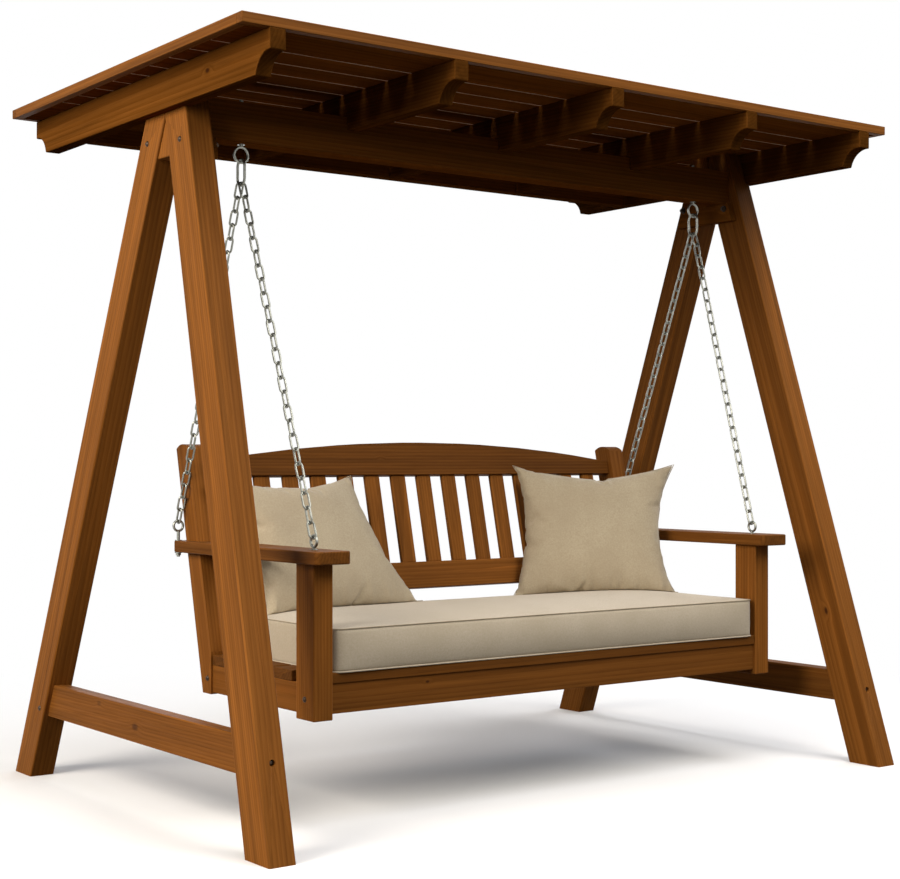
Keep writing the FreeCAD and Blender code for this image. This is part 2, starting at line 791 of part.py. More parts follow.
def make_bench():
    """Make the bench's posts, stiles, rails, boards, armrests and their bolts and eyes."""
    seat_bolts = []
    front_holes = []
    rear_holes = []
    for side, sign in SIDES.items():
        post_start = from_side(side, "post_outer", "post_width")
        bolt_turn = {"axis": (0, 1, 0), "angle": "-90" if side == "left" else "90"}
        front_lag, front_hole = lag_bolt(
            side + "_post_lag", "seat_lag_length",
            dict(bolt_turn, x=sign + "post_outer", y="post_middle", z="seat_rail_middle"),
        )
        rear_lag_place = "rear_rail_front + rear_rail_thickness / 2"
        rear_lag, rear_hole = lag_bolt(
            side + "_stile_lag", "seat_lag_length",
            dict(bolt_turn, x=sign + "post_outer", y=rear_lag_place, z="seat_rail_middle"),
        )
        seat_bolts += [front_lag, rear_lag]
        front_holes.append(front_hole)
        rear_holes.append(rear_hole)
        front_x = "%s(arm_inner + arm_outer) / 2" % sign
        rear_x = sign + "hanger_offset"
        bore = "eye_shank_diameter / 2 + bolt_hole_clearance"
        front_neck = "front_arm_eye_rise - arm_eye_ring_radius"
        front_shank_hole = shank_hole(
            side + "_front_shank_hole", front_x, "post_middle",
            "arm_top - front_arm_eye_depth", "front_arm_eye_depth + overrun",
        )
        rear_shank_hole = shank_hole(
            side + "_rear_shank_hole", rear_x, "rear_arm_eye_place",
            "arm_low - overrun", "arm_thickness + 2 * overrun",
        )
        front_eye = [
            eye(side + "_front_eye", front_x, "post_middle", "front_arm_eye_height", "arm_eye_ring_radius",
                (0, 1, 0), "arm_top - front_arm_eye_depth", "front_arm_eye_depth + " + front_neck),
            washer(side + "_front_collar", "0", bore, {"x": front_x, "y": "post_middle", "z": "arm_top"}),
        ]
        below = "washer_thickness + nut_height + bolt_tip"
        over_arm = {"x": rear_x, "y": "rear_arm_eye_place", "z": "arm_top"}
        under_arm = {"x": rear_x, "y": "rear_arm_eye_place", "z": "arm_low"}
        rear_eye = [
            eye(side + "_rear_eye", rear_x, "rear_arm_eye_place", "rear_arm_eye_height", "arm_eye_ring_radius",
                (1, 0, 0), "arm_low - (%s)" % below,
                "arm_thickness + rear_arm_eye_rise - arm_eye_ring_radius + " + below),
            washer(side + "_rear_collar", "0", bore, over_arm),
            washer(side + "_rear_washer", "-washer_thickness", bore, under_arm),
            nut(side + "_rear_nut", "-washer_thickness - nut_height", bore, under_arm),
        ]
        group(side + "_front_arm_eye", front_eye)
        group(side + "_rear_arm_eye", rear_eye)
        post = block(
            side + "_post_blank", (post_start, "-post_front", "post_low"),
            ("post_width", "post_depth", "arm_low - post_low"), ease="wood_ease",
        )
        node(carved(side + "_post_cut", post, [front_hole, front_shank_hole]), side + "_front_post")
        stile = prism(
            side + "_stile_blank", "YZ",
            [
                ("stile_front", "stile_low"),
                (stile_front("stile_low") + " + stile_depth", "stile_low"),
                (stile_front("stile_shoulder") + " + stile_depth", "stile_shoulder", "stile_crown_radius"),
                (stile_front("stile_shoulder"), "stile_shoulder"),
                ("stile_front", "stile_knee"),
            ],
            "post_width", post_start,
        )
        node(carved(side + "_stile_cut", stile, [rear_hole]), side + "_back_post")
        arm = document.addObject("PartDesign::Body", side + "_arm_blank")
        box = arm.newObject("PartDesign::AdditiveBox", side + "_arm_box")
        box.setExpression("Length", bound("arm_width"))
        box.setExpression("Width", bound("arm_front + arm_rear"))
        box.setExpression("Height", bound("arm_thickness"))
        corners = ease_edges(arm, box, lambda edge: edge.BoundBox.ZLength > 1e-6, "arm_corner_radius")
        ease_edges(arm, corners, lambda edge: edge.BoundBox.ZLength < 1e-6, "arm_ease")
        place(arm, from_side(side, "arm_outer", "arm_width"), "-arm_front", "arm_low")
        node(carved(side + "_arm_cut", arm, [stile, front_shank_hole, rear_shank_hole]), side + "_armrest")
        node(
            block(side + "_side_rail_body",
                  (from_side(side, "post_outer - side_rail_recess", "side_rail_thickness"),
                   "post_depth - post_front", "seat_rail_low"),
                  ("side_rail_thickness", "stile_front + post_front - post_depth", "seat_rail_depth")),
            side + "_side_rail",
        )
    group("seat_bolts", seat_bolts)
    front_rail = block(
        "front_rail_blank", ("-post_inner", "-front_rail_front", "seat_rail_low"),
        ("2 * post_inner", "front_rail_thickness", "seat_rail_depth"),
    )
    node(carved("front_rail_cut", front_rail, front_holes), "front_seat_rail")
    rear_rail = block(
        "rear_rail_blank", ("-post_inner", "rear_rail_front", "seat_rail_low"),
        ("2 * post_inner", "rear_rail_thickness", "seat_rail_depth"),
    )
    node(carved("rear_rail_cut", rear_rail, rear_holes), "rear_seat_rail")
    bearer_start = "front_rail_thickness - front_rail_front"
    for number, sign in enumerate(SIDES.values(), start=1):
        label = "seat_bearer_%d" % number
        node(
            block(label, ("%sbearer_offset - bearer_width / 2" % sign, bearer_start, "seat_rail_low"),
                  ("bearer_width", "rear_rail_front - (%s)" % bearer_start, "seat_rail_depth")),
            label,
        )
    boards = []
    for number in range(BOARD_COUNT):
        reach = "post_inner" if number == 0 else "board_end"
        boards.append(
            block("seat_board_%d" % (number + 1),
                  ("-" + reach, "%d * board_pitch - board_front" % number, "seat_rail_top"),
                  ("2 * " + reach, "board_width", "board_thickness"), ease="wood_ease")
        )
    group("seat_boards", boards)


def make_back():
    """Make the two back rails, the upper one arched, and the slats between them."""
    lower_top = "lower_rail_rise + lower_rail_depth"
    lower = prism(
        "lower_back_rail_body", "XZ",
        [
            ("-post_inner", "lower_rail_rise"),
            ("post_inner", "lower_rail_rise"),
            ("post_inner", lower_top),
            ("-post_inner", lower_top),
        ],
        "back_rail_thickness", ease="wood_ease",
    )
    node(raked(lower, "0", "back_rail_setback", "0"), "back_lower_rail")
    shoulder = "top_rail_rise + top_rail_end_depth"
    upper = prism(
        "top_rail_body", "XZ",
        [
            ("-post_inner", "top_rail_rise"),
            ("post_inner", "top_rail_rise"),
            ("post_inner", shoulder, "(post_inner^2 + top_rail_arch^2) / (2 * top_rail_arch)"),
            ("-post_inner", shoulder),
        ],
        "back_rail_thickness",
    )
    node(raked(upper, "0", "back_rail_setback", "0"), "back_top_rail")
    slats = []
    for number in range(BACK_SLAT_COUNT):
        slat = block(
            "back_slat_%d" % (number + 1), ("0", "0", "0"),
            ("back_slat_width", "back_slat_thickness", "top_rail_rise - (%s)" % lower_top), ease="wood_ease",
        )
        across = "%d * back_slat_pitch - back_slat_width / 2" % (number - BACK_SLAT_COUNT // 2)
        slats.append(raked(slat, across, "back_slat_setback", lower_top))
    group("back_slats", slats)


def link_shape(length, width, wire):
    """Return one link standing along Z in the XZ plane, from its centreline's size and its wire."""
    bend = width / 2
    straight = length / 2 - bend
    ends = ((bend, -straight), (bend, straight), (-bend, straight), (-bend, -straight))
    corners = [FreeCAD.Vector(x, 0, z) for x, z in ends]
    top = FreeCAD.Vector(0, 0, length / 2)
    path = Part.Wire([
        Part.makeLine(corners[0], corners[1]),
        Part.Arc(corners[1], top, corners[2]).toShape(),
        Part.makeLine(corners[2], corners[3]),
        Part.Arc(corners[3], -top, corners[0]).toShape(),
    ])
    section = Part.Wire(Part.makeCircle(wire / 2, corners[0], FreeCAD.Vector(0, 0, 1)))
    return path.makePipeShell([section], True, False)


def strand(start, end, start_wire, end_wire, odd):
    """Return the links of a straight chain from one round wire to another.

    Every second link is turned a quarter turn. The count is odd or even, as the end asks, and
    the links share the length evenly.
    """
    wire = value("chain_wire")
    gap = value("steel_clearance")
    span = end - start
    first_hook = (start_wire + wire) / 2 + gap
    last_hook = (end_wire + wire) / 2 + gap
    pairs = span.Length / value("chain_pitch") / 2
    count = 2 * round(pairs - 0.5) + 1 if odd else 2 * round(pairs)
    length = (span.Length + first_hook + last_hook + (count - 1) * (wire + gap)) / count
    along = FreeCAD.Vector(span).normalize()
    side = FreeCAD.Vector(1, 0, 0)
    side = (side - along * side.dot(along)).normalize()
    upright = along.cross(side)
    shape = link_shape(length, value("link_width"), wire)
    links = []
    for number in range(count):
        across = side if number % 2 == 0 else upright
        rotation = FreeCAD.Rotation(across, along.cross(across), along, "ZXY")
        middle = start + along * (length / 2 - first_hook + number * (length - wire - gap))
        link = shape.copy()
        link.Placement = FreeCAD.Placement(middle, rotation)
        links.append(link)
    return links, length


def feature(label, shape, placement=FreeCAD.Placement()):
    """Make a node from a shape worked out above, in its place."""
    piece = document.addObject("Part::Feature", label)
    piece.Shape = shape
    piece.Placement = placement
    return node(piece, label)


def make_hanging():
    """Make the connector under each beam eye and the two chains that spread from it to the arm."""
    bend = value("connector_bend_radius")
    wire = value("connector_wire")
    hook = (value("eye_wire") + wire) / 2 + value("steel_clearance")
    top = value("pivot_height") + hook
    for side in SIDES:
        hand = HANDS[side]
        x = hand * value("hanger_offset")
        y = value("beam_middle")
        middle = FreeCAD.Vector(x, y, top - value("connector_length") / 2)
        connector = link_shape(value("connector_length"), 2 * bend, wire)
        quarter = FreeCAD.Rotation(FreeCAD.Vector(0, 0, 1), 90)
        feature(side + "_connector", connector, FreeCAD.Placement(middle, quarter))
        centre = FreeCAD.Vector(x, y, top - value("connector_length") + bend)
        front_x = hand * value("(arm_inner + arm_outer) / 2")
        front_eye = FreeCAD.Vector(front_x, value("post_middle"), value("front_arm_eye_height"))
        flat = FreeCAD.Vector(0, front_eye.y - y, front_eye.z - centre.z).normalize()
        rear_high = value("rear_arm_eye_height + arm_eye_ring_radius")
        rear_top = FreeCAD.Vector(x, value("rear_arm_eye_place"), rear_high)
        back = (rear_top - centre).normalize()
        ring = value("arm_eye_ring_radius")
        for end, start, finish, odd in (
            ("front", centre + flat * bend, front_eye - flat * ring, True),
            ("rear", centre + back * bend, rear_top, False),
        ):
            links, length = strand(start, finish, wire, value("eye_wire"), odd)
            feature("%s_%s_chain" % (side, end), Part.makeCompound(links))
            print(side, end, "chain:", len(links), "links of", round(length + value("chain_wire"), 2), "mm")


# A scatter cushion is down once its gap is within this share of the soft clearance.
SEATED_SHARE = 1.05

# Each row is a share of half the thickness, the outline's share of full size there, and the share of
# the sides' draw; a negative share bows the sides out.
PILLOW_SHARES = (
    (-1, 0.3, -1.4),
    (-0.86, 0.55, -1.2),
    (-0.5, 0.8, -0.3),
    (0, 1, 1),
    (0.5, 0.8, -0.3),
    (0.86, 0.55, -1.2),
    (1, 0.3, -1.4),
)


def pillow_shape(slump):
    """Return a scatter cushion standing on its lower edge, its sides drawn in between the corners.

    Its thickness lies along Y, and its top is pushed aside by slump.
    """
    width = value("pillow_width")
    length = value("pillow_length")
    sections = []
    for level_share, size_share, draw_share in PILLOW_SHARES:
        y = level_share * value("pillow_thickness") / 2
        across = size_share * width / 2
        up = size_share * length / 2
        draw = draw_share * value("pillow_draw")
        ring = [
            (-across, -up), (0, draw - up), (across, -up), (across - draw, 0),
            (across, up), (0, up - draw), (-across, up), (draw - across, 0),
        ]
        points = [FreeCAD.Vector(px + slump * (pz / length + 0.5), y, pz + length / 2) for px, pz in ring]
        arcs = [
            Part.Arc(points[index], points[index + 1], points[(index + 2) % len(points)]).toShape()
            for index in range(0, len(points), 2)
        ]
        sections.append(Part.Wire(arcs))
    return Part.makeLoft(sections, True, False)


# Each row is a share of the cushion's thickness and the share of its crown added to it, then the share
# of its corner radius, and of its depth, by which the outline is drawn in there.
SEAT_CUSHION_SHARES = (
    (0, 0, 0.25, 0),
    (0.08, 0, 0, 0),
    (0.92, 0, 0, 0),
    (1, 0, 0.25, 0),
    (1, 0.7, 1, 0.06),
    (1, 1, 1, 0.2),
)


def seat_cushion_shape():
    """Return the long boxed cushion: crowned on top, its sides drawn in between the corners."""
    half = value("seat_cushion_half_length")
    front = -value("seat_cushion_front")
    rear = value("seat_cushion_rear")
    corner = value("seat_cushion_corner")
    draw = value("seat_cushion_draw")
    low = value("seat_cushion_low")
    sections = []
    for level_share, crown_share, corner_share, depth_share in SEAT_CUSHION_SHARES:
        inset = corner_share * corner + depth_share * (rear - front)
        z = low + level_share * value("seat_cushion_thickness") + crown_share * value("seat_cushion_crown")
        west, east = inset - half, half - inset
        south, north = front + inset, rear - inset
        middle = (south + north) / 2
        ease = corner * (1 - math.sqrt(0.5))
        ring = [
            (west + corner, south), (0, south + draw),
            (east - corner, south), (east - ease, south + ease),
            (east, south + corner), (east - draw, middle),
            (east, north - corner), (east - ease, north - ease),
            (east - corner, north), (0, north - draw),
            (west + corner, north), (west + ease, north - ease),
            (west, north - corner), (west + draw, middle),
            (west, south + corner), (west + ease, south + ease),
        ]
        points = [FreeCAD.Vector(px, py, z) for px, py in ring]
        arcs = [
            Part.Arc(points[index], points[index + 1], points[(index + 2) % len(points)]).toShape()
            for index in range(0, len(points), 2)
        ]
        sections.append(Part.Wire(arcs))
    return Part.makeLoft(sections, True, True)


def set_down(shape, support):
    """Lower a shape until it lies the soft clearance above its support."""
    clearance = value("soft_clearance")
    gap = shape.distToShape(support)[0]
    while gap > clearance * SEATED_SHARE:
        shape.translate(FreeCAD.Vector(0, 0, clearance - gap))
        gap = shape.distToShape(support)[0]
    return shape


def make_cushions():
    """Make the seat cushion and the two scatter cushions that lean in its corners."""
    seat = feature("seat_cushion", seat_cushion_shape())
    for side in SIDES:
        hand = HANDS[side]
        shape = pillow_shape(hand * value(side + "_pillow_slump"))
        turn = FreeCAD.Rotation(FreeCAD.Vector(0, 0, 1), value(side + "_pillow_turn"))
        tip = FreeCAD.Rotation(FreeCAD.Vector(1, 0, 0), -value(side + "_pillow_lean"))
        high = seat.Shape.BoundBox.ZMax + value("pillow_thickness")
        across = hand * value("seat_cushion_half_length - %s_pillow_inset" % side)
        base = FreeCAD.Vector(across, -value(side + "_pillow_forward"), high)
        shape.Placement = FreeCAD.Placement(base, turn.multiply(tip))
        resting = set_down(shape, seat.Shape)
        feature(side + "_scatter_cushion", resting, resting.Placement)


make_frames()
make_roof(make_beam())
make_bench()
make_back()
make_hanging()
make_cushions()
document.recompute()

broken = [item for item in document.Objects if "Invalid" in item.State or "Error" in item.State]
if broken:
    raise RuntimeError("; ".join("%s: %s" % (item.Name, item.getStatusString()) for item in broken))
for piece in nodes:
    if piece.Shape.isNull() or not piece.Shape.isValid() or not piece.Shape.Solids:
        raise RuntimeError("%s has no sound solid" % piece.Label)

os.makedirs("parts", exist_ok=True)
for piece in nodes:
    piece.Shape.exportStep(os.path.join("parts", piece.Label + ".step"))
    print(piece.Label, len(piece.Shape.Solids), "solids")
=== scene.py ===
"""The looks of a canopy swing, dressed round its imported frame.

X runs along the roof, the sitter looks towards -Y and Z is up from the floor, in metres.
The timber and the steel are the frame's own pieces with a finish; the three cushions are
sewn and filled here, each in the space that its plain solid holds.
"""

from __future__ import annotations

import json
import logging
import math
import random
from dataclasses import dataclass, field
from enum import Enum
from typing import Iterable

import bpy
import numpy as np
from mathutils import Euler, Matrix, Quaternion, Vector
from mathutils.bvhtree import BVHTree

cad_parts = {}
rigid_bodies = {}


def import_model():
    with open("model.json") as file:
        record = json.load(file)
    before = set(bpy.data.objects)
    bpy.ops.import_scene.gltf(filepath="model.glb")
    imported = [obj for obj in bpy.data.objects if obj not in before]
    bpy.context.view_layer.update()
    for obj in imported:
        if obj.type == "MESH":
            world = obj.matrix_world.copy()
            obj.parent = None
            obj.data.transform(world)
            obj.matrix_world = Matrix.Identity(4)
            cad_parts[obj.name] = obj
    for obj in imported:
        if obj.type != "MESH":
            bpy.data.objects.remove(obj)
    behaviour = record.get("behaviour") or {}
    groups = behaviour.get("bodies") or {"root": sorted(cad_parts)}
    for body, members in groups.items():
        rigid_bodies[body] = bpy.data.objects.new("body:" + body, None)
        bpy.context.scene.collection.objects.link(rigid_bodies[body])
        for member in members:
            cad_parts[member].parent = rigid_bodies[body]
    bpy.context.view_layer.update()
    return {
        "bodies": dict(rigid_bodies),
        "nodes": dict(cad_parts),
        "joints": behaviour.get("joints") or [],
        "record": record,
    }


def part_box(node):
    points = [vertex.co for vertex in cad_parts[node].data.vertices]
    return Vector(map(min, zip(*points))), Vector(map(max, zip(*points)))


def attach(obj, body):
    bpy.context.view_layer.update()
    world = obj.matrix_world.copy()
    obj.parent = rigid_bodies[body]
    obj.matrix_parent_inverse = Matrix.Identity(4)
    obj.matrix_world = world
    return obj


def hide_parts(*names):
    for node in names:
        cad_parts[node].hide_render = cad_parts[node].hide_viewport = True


LOG = logging.getLogger("canopy_swing")

MM = 0.001

# Sockets of the Mix node that hold colours.
MIX_A = 6
MIX_B = 7
MIX_RESULT = 2

# The back leans by this angle, and its slats' grain with it.
BACK_RAKE = math.radians(13.2)

# The faces round a piping or a seam's cord.
CORD_SIDES = 8

Points = np.ndarray


def linear(colour: str) -> tuple[float, float, float, float]:
    """Turn an sRGB hex colour into the linear colour that a shader takes.

    Args:
        colour: The colour as "#RRGGBB".

    Returns:
        Red, green, blue and an alpha of one.
    """
    shares = [int(colour[place : place + 2], 16) / 255 for place in (1, 3, 5)]
    red, green, blue = (
        share / 12.92 if share <= 0.04045 else ((share + 0.055) / 1.055) ** 2.4 for share in shares
    )
    return red, green, blue, 1.0


def add_node(
    tree: bpy.types.NodeTree,
    kind: str,
    inputs: dict[str | int, object] | None = None,
    **settings: object,
) -> bpy.types.Node:
    """Add a shader node, with its settings made and its inputs set or linked.

    Args:
        tree: The node tree that takes the node.
        kind: The node's type without its "ShaderNode" prefix.
        inputs: A value, or another node's output socket, for each named or numbered input.
        **settings: Properties of the node itself.

    Returns:
        The new node.
    """
    node = tree.nodes.new("ShaderNode" + kind)
    for name, setting in settings.items():
        setattr(node, name, setting)
    for name, content in (inputs or {}).items():
        if isinstance(content, bpy.types.NodeSocket):
            tree.links.new(content, node.inputs[name])
        else:
            node.inputs[name].default_value = content
    return node


def blank_material(name: str) -> tuple[bpy.types.Material, bpy.types.NodeTree]:
    """Make an empty node material.

    Args:
        name: The material's name.

    Returns:
        The material and its node tree.
    """
    material = bpy.data.materials.new(name)
    material.use_nodes = True
    material.node_tree.nodes.clear()
    return material, material.node_tree


def dress(piece: bpy.types.Object, material: bpy.types.Material) -> None:
    """Put one material on the whole of a piece."""
    if not piece.material_slots:
        piece.data.materials.append(material)
    for slot in piece.material_slots:
        slot.link = "OBJECT"
        slot.material = material


def corners_of(piece: bpy.types.Object) -> Points:
    """Return a mesh's vertices as rows of X, Y and Z."""
    places = np.zeros(len(piece.data.vertices) * 3)
    piece.data.vertices.foreach_get("co", places)
    return places.reshape(-1, 3)


def move_corners(piece: bpy.types.Object, places: Points) -> None:
    """Put a mesh's vertices at new places."""
    piece.data.vertices.foreach_set("co", places.ravel())
    piece.data.update()


def long_axis(points: Points) -> Vector:
    """Return the direction in which a cloud of points reaches furthest."""
    _, _, directions = np.linalg.svd(points - points.mean(0), full_matrices=False)
    return Vector(directions[0])


def new_piece(name: str, vertices: Iterable, faces: Iterable) -> bpy.types.Object:
    """Make a smooth mesh piece from its corners and faces.

    Args:
        name: The piece's name.
        vertices: The corners' places.
        faces: The corners of each face.

    Returns:
        The new object, in the scene.
    """
    mesh = bpy.data.meshes.new(name)
    mesh.from_pydata([tuple(place) for place in vertices], [], [tuple(face) for face in faces])
    mesh.polygons.foreach_set("use_smooth", [True] * len(mesh.polygons))
    mesh.update()
    piece = bpy.data.objects.new(name, mesh)
    bpy.context.scene.collection.objects.link(piece)
    return piece


def smooth_cloth(cover: bpy.types.Object) -> None:
    """Divide a cover's cells once more, so that its cloth runs smooth."""
    smooth = cover.modifiers.new("Smooth cloth", "SUBSURF")
    smooth.levels = 1
    smooth.render_levels = 1


def settle(piece: bpy.types.Object) -> None:
    """Write a piece's modifiers into its mesh and take them off."""
    bpy.context.view_layer.update()
    evaluated = piece.evaluated_get(bpy.context.evaluated_depsgraph_get())
    mesh = bpy.data.meshes.new_from_object(evaluated)
    mesh.name = piece.name
    piece.modifiers.clear()
    piece.data = mesh


@dataclass(frozen=True)
class Knot:
    """A knot in a board: where it shows, in metres, how wide it is and how dark its core."""

    place: tuple[float, float, float]
    width: float = 16 * MM
    darkness: float = 0.8


# The knots that show in the photograph, node by node.
KNOTS: dict[str, tuple[Knot, ...]] = {
    "right_front_leg": (Knot((0.974, -0.539, 0.446)),),
    "left_stretcher": (
        Knot((-1.038, 0.208, 0.254), darkness=0.35),
        Knot((-1.039, -0.010, 0.219), 22 * MM, darkness=0.6),
    ),
    "rafter_1": (Knot((-1.024, -0.369, 1.828), 14 * MM),),
    "front_seat_rail": (Knot((-0.448, -0.466, 0.337), 8 * MM),),
    "back_top_rail": (Knot((-0.155, 0.175, 0.908), 9 * MM),),
}


class Grain(Enum):
    """The way the grain of a node's timber runs."""

    LENGTHWISE = "along the node's own length"
    RAKED = "up the leaning back"


@dataclass(frozen=True)
class Board:
    """How one node's timber was cut and how it took the stain.

    End grain drinks more stain than the faces. The low strip of the deck slats' side faces is
    painted pale: a painted highlight for the light that falls through the gaps. The seat boards'
    lower tone is painted shade, and the rafters' lower tone and end tone are partly painted shade.
    Timber that lies dry under the roof is matt.
    """

    node: str
    tone: float = 1.0
    arris: float = 0.0
    grain: Grain = Grain.LENGTHWISE
    end_tone: float = 0.8
    # Whether the low strip of the slats' side faces gets a painted highlight.
    sawn_edges: bool = False
    matt: bool = False


@dataclass(frozen=True)
class StainedPine:
    """Planed and sanded pine under a clear brown stain and a satin coat.

    The eye sees honey-brown early wood, thin darker late wood that the stain has sunk
    into, long soft streaks, and a low sheen that lights the rounded arrises.
    """

    early_wood: str = "#875320"
    late_wood: str = "#6A3C10"
    open_grain: str = "#41220A"
    knot_wood: str = "#26120A"
    # A painted highlight: the pale strip low on the deck slats' side faces, for the light through
    # the gaps.
    sawn_edge: str = "#D8B69A"
    lit_edge_share: float = 1.0
    lit_edge_height: float = 7 * MM
    ring_spacing: float = 9 * MM  # drawn half as wide again as real, so that it shows
    ring_unevenness: float = 9.0
    late_share: float = 0.5
    fibre_width: float = 1.6 * MM
    fibre_stretch: float = 70.0
    open_share: float = 0.45
    streak_width: float = 22 * MM
    streak_stretch: float = 30.0
    streak_tones: tuple[float, float] = (0.72, 1.22)
    board_tones: tuple[float, float] = (0.92, 1.08)
    heart_distance: float = 90 * MM
    ring_stretch: float = 20.0
    board_shift: tuple[float, float, float] = (0.11, 0.13, 7.0)
    knot_squeeze: float = 0.55  # a knot shows longer along the grain than across it
    knot_reach: float = 1.6  # how far a knot bends the rings, in its own widths
    knot_bend: tuple[float, float, float] = (9 * MM, 7 * MM, 0.0)
    roughness_low: float = 0.5
    roughness_high: float = 0.66
    index_of_refraction: float = 1.5
    gloss_level: float = 0.05
    relief: float = 0.2 * MM

    def material(
        self, board: Board, axis: Vector, centre: Vector, underside: float
    ) -> bpy.types.Material:
        """Make the timber of one node, cut from a tree of its own.

        Args:
            board: How the node's timber was cut.
            axis: The way the grain runs.
            centre: The middle of the node.
            underside: The height of the node's lowest face.

        Returns:
            The node's material.
        """
        dice = random.Random(board.node)
        material, tree = blank_material("stained_pine_" + board.node)
        turn = axis.normalized().rotation_difference(Vector((0, 0, 1)))
        heart_turn = dice.uniform(0, math.tau)
        heart_reach = self.heart_distance * dice.uniform(0.5, 1.6)
        heart = Vector((math.cos(heart_turn), math.sin(heart_turn), 0)) * heart_reach
        heart.z = dice.uniform(-5, 5)
        shift = heart - turn @ centre
        place = add_node(tree, "TexCoord").outputs["Object"]
        aligned = add_node(
            tree, "Mapping", {"Vector": place, "Rotation": turn.to_euler(), "Location": shift}
        ).outputs[0]
        chance = add_node(tree, "NewGeometry").outputs["Random Per Island"]
        scattered = add_node(
            tree,
            "VectorMath",
            {0: chance, 1: self.board_shift, 2: aligned},
            operation="MULTIPLY_ADD",
        ).outputs[0]
        knots = KNOTS.get(board.node, ())
        ringed, dark_knots = self._bend_round_knots(tree, scattered, aligned, knots, turn, shift)
        late = self._late_wood(tree, ringed)
        fibres = self._stretched_noise(tree, scattered, self.fibre_width, self.fibre_stretch, 3.0)
        streaks = self._stretched_noise(
            tree, scattered, self.streak_width, self.streak_stretch, 2.0
        )
        open_share = add_node(
            tree,
            "MapRange",
            {"Value": fibres, "From Min": 0.5, "From Max": 0.85, "To Max": self.open_share},
        ).outputs[0]
        streak_tone = add_node(
            tree,
            "MapRange",
            {
                "Value": streaks,
                "From Min": 0.25,
                "From Max": 0.75,
                "To Min": self.streak_tones[0] * board.tone,
                "To Max": self.streak_tones[1] * board.tone,
            },
        ).outputs[0]
        board_tone = add_node(
            tree,
            "MapRange",
            {"Value": chance, "To Min": self.board_tones[0], "To Max": self.board_tones[1]},
        ).outputs[0]
        tone = add_node(
            tree, "Math", {0: streak_tone, 1: board_tone}, operation="MULTIPLY"
        ).outputs[0]
        ends = self._facing(tree, axis.normalized(), 1.0)
        layers = [
            (late, linear(self.late_wood), "MIX"),
            (open_share, linear(self.open_grain), "MIX"),
            (1.0, tone, "MULTIPLY"),
            (dark_knots, linear(self.knot_wood), "MIX"),
            # End grain darker from the stain it drinks; on the rafters' noses this is also painted
            # shade.
            (ends, (board.end_tone, board.end_tone, board.end_tone, 1.0), "MULTIPLY"),
        ]
        # Painted highlight low on the slats' side faces, for the light that falls through the gaps.
        if board.sawn_edges:
            layers.append((self._bare_edges(tree, place, underside), linear(self.sawn_edge), "MIX"))
        colour = linear(self.early_wood)
        for share, layer, way in layers:
            colour = add_node(
                tree,
                "Mix",
                {"Factor": share, MIX_A: colour, MIX_B: layer},
                data_type="RGBA",
                blend_type=way,
            ).outputs[MIX_RESULT]
        roughness = add_node(
            tree,
            "MapRange",
            {
                "Value": fibres,
                "From Min": 0.3,
                "From Max": 0.7,
                "To Min": self.roughness_low,
                "To Max": self.roughness_high,
            },
        ).outputs[0]
        height = add_node(
            tree, "Math", {0: fibres, 1: 0.8, 2: late}, operation="MULTIPLY_ADD"
        ).outputs[0]
        relief = add_node(
            tree, "Bump", {"Height": height, "Strength": 0.5, "Distance": self.relief}, invert=True
        ).outputs[0]
        shader = add_node(
            tree,
            "BsdfPrincipled",
            {
                "Base Color": colour,
                "Roughness": roughness,
                "IOR": self.index_of_refraction,
                "Specular IOR Level": 0.0 if board.matt else self.gloss_level,
                "Normal": relief,
            },
        )
        add_node(tree, "OutputMaterial", {"Surface": shader.outputs[0]})
        return material

    def _late_wood(
        self, tree: bpy.types.NodeTree, place: bpy.types.NodeSocket
    ) -> bpy.types.NodeSocket:
        """Draw the yearly rings, each darker towards its outside.

        Args:
            tree: The material's node tree.
            place: The place in the tree, with the heart along Z.

        Returns:
            The share of late wood.
        """
        drawn = add_node(
            tree,
            "VectorMath",
            {0: place, 1: (1.0, 1.0, 1 / self.ring_stretch)},
            operation="MULTIPLY",
        ).outputs[0]
        # A wave of scale 1 repeats every tau / 20.
        rings = add_node(
            tree,
            "TexWave",
            {
                "Vector": drawn,
                "Scale": math.tau / 20 / self.ring_spacing,
                "Distortion": self.ring_unevenness,
                "Detail": 2.0,
                "Detail Scale": 0.16,
                "Detail Roughness": 0.55,
            },
            wave_type="RINGS",
            rings_direction="Z",
            wave_profile="SAW",
        ).outputs["Fac"]
        return add_node(
            tree,
            "MapRange",
            {"Value": rings, "From Min": 0.2, "From Max": 0.95, "To Max": self.late_share},
            interpolation_type="SMOOTHSTEP",
        ).outputs[0]

    def _bare_edges(
        self, tree: bpy.types.NodeTree, place: bpy.types.NodeSocket, underside: float
    ) -> bpy.types.NodeSocket:
        """Find the low strip of a slat's side faces, where the light through the gaps is painted.

        Args:
            tree: The material's node tree.
            place: The place in the part.
            underside: The height of the slats' lowest face.

        Returns:
            The share of painted highlight.
        """
        sides = self._facing(tree, Vector((0, 1, 0)), self.lit_edge_share)
        height = add_node(tree, "SeparateXYZ", {0: place}).outputs[2]
        lit_strip = add_node(
            tree,
            "MapRange",
            {
                "Value": height,
                "From Min": underside + self.lit_edge_height,
                "From Max": underside + self.lit_edge_height / 2,
            },
        ).outputs[0]
        return add_node(tree, "Math", {0: sides, 1: lit_strip}, operation="MULTIPLY").outputs[0]

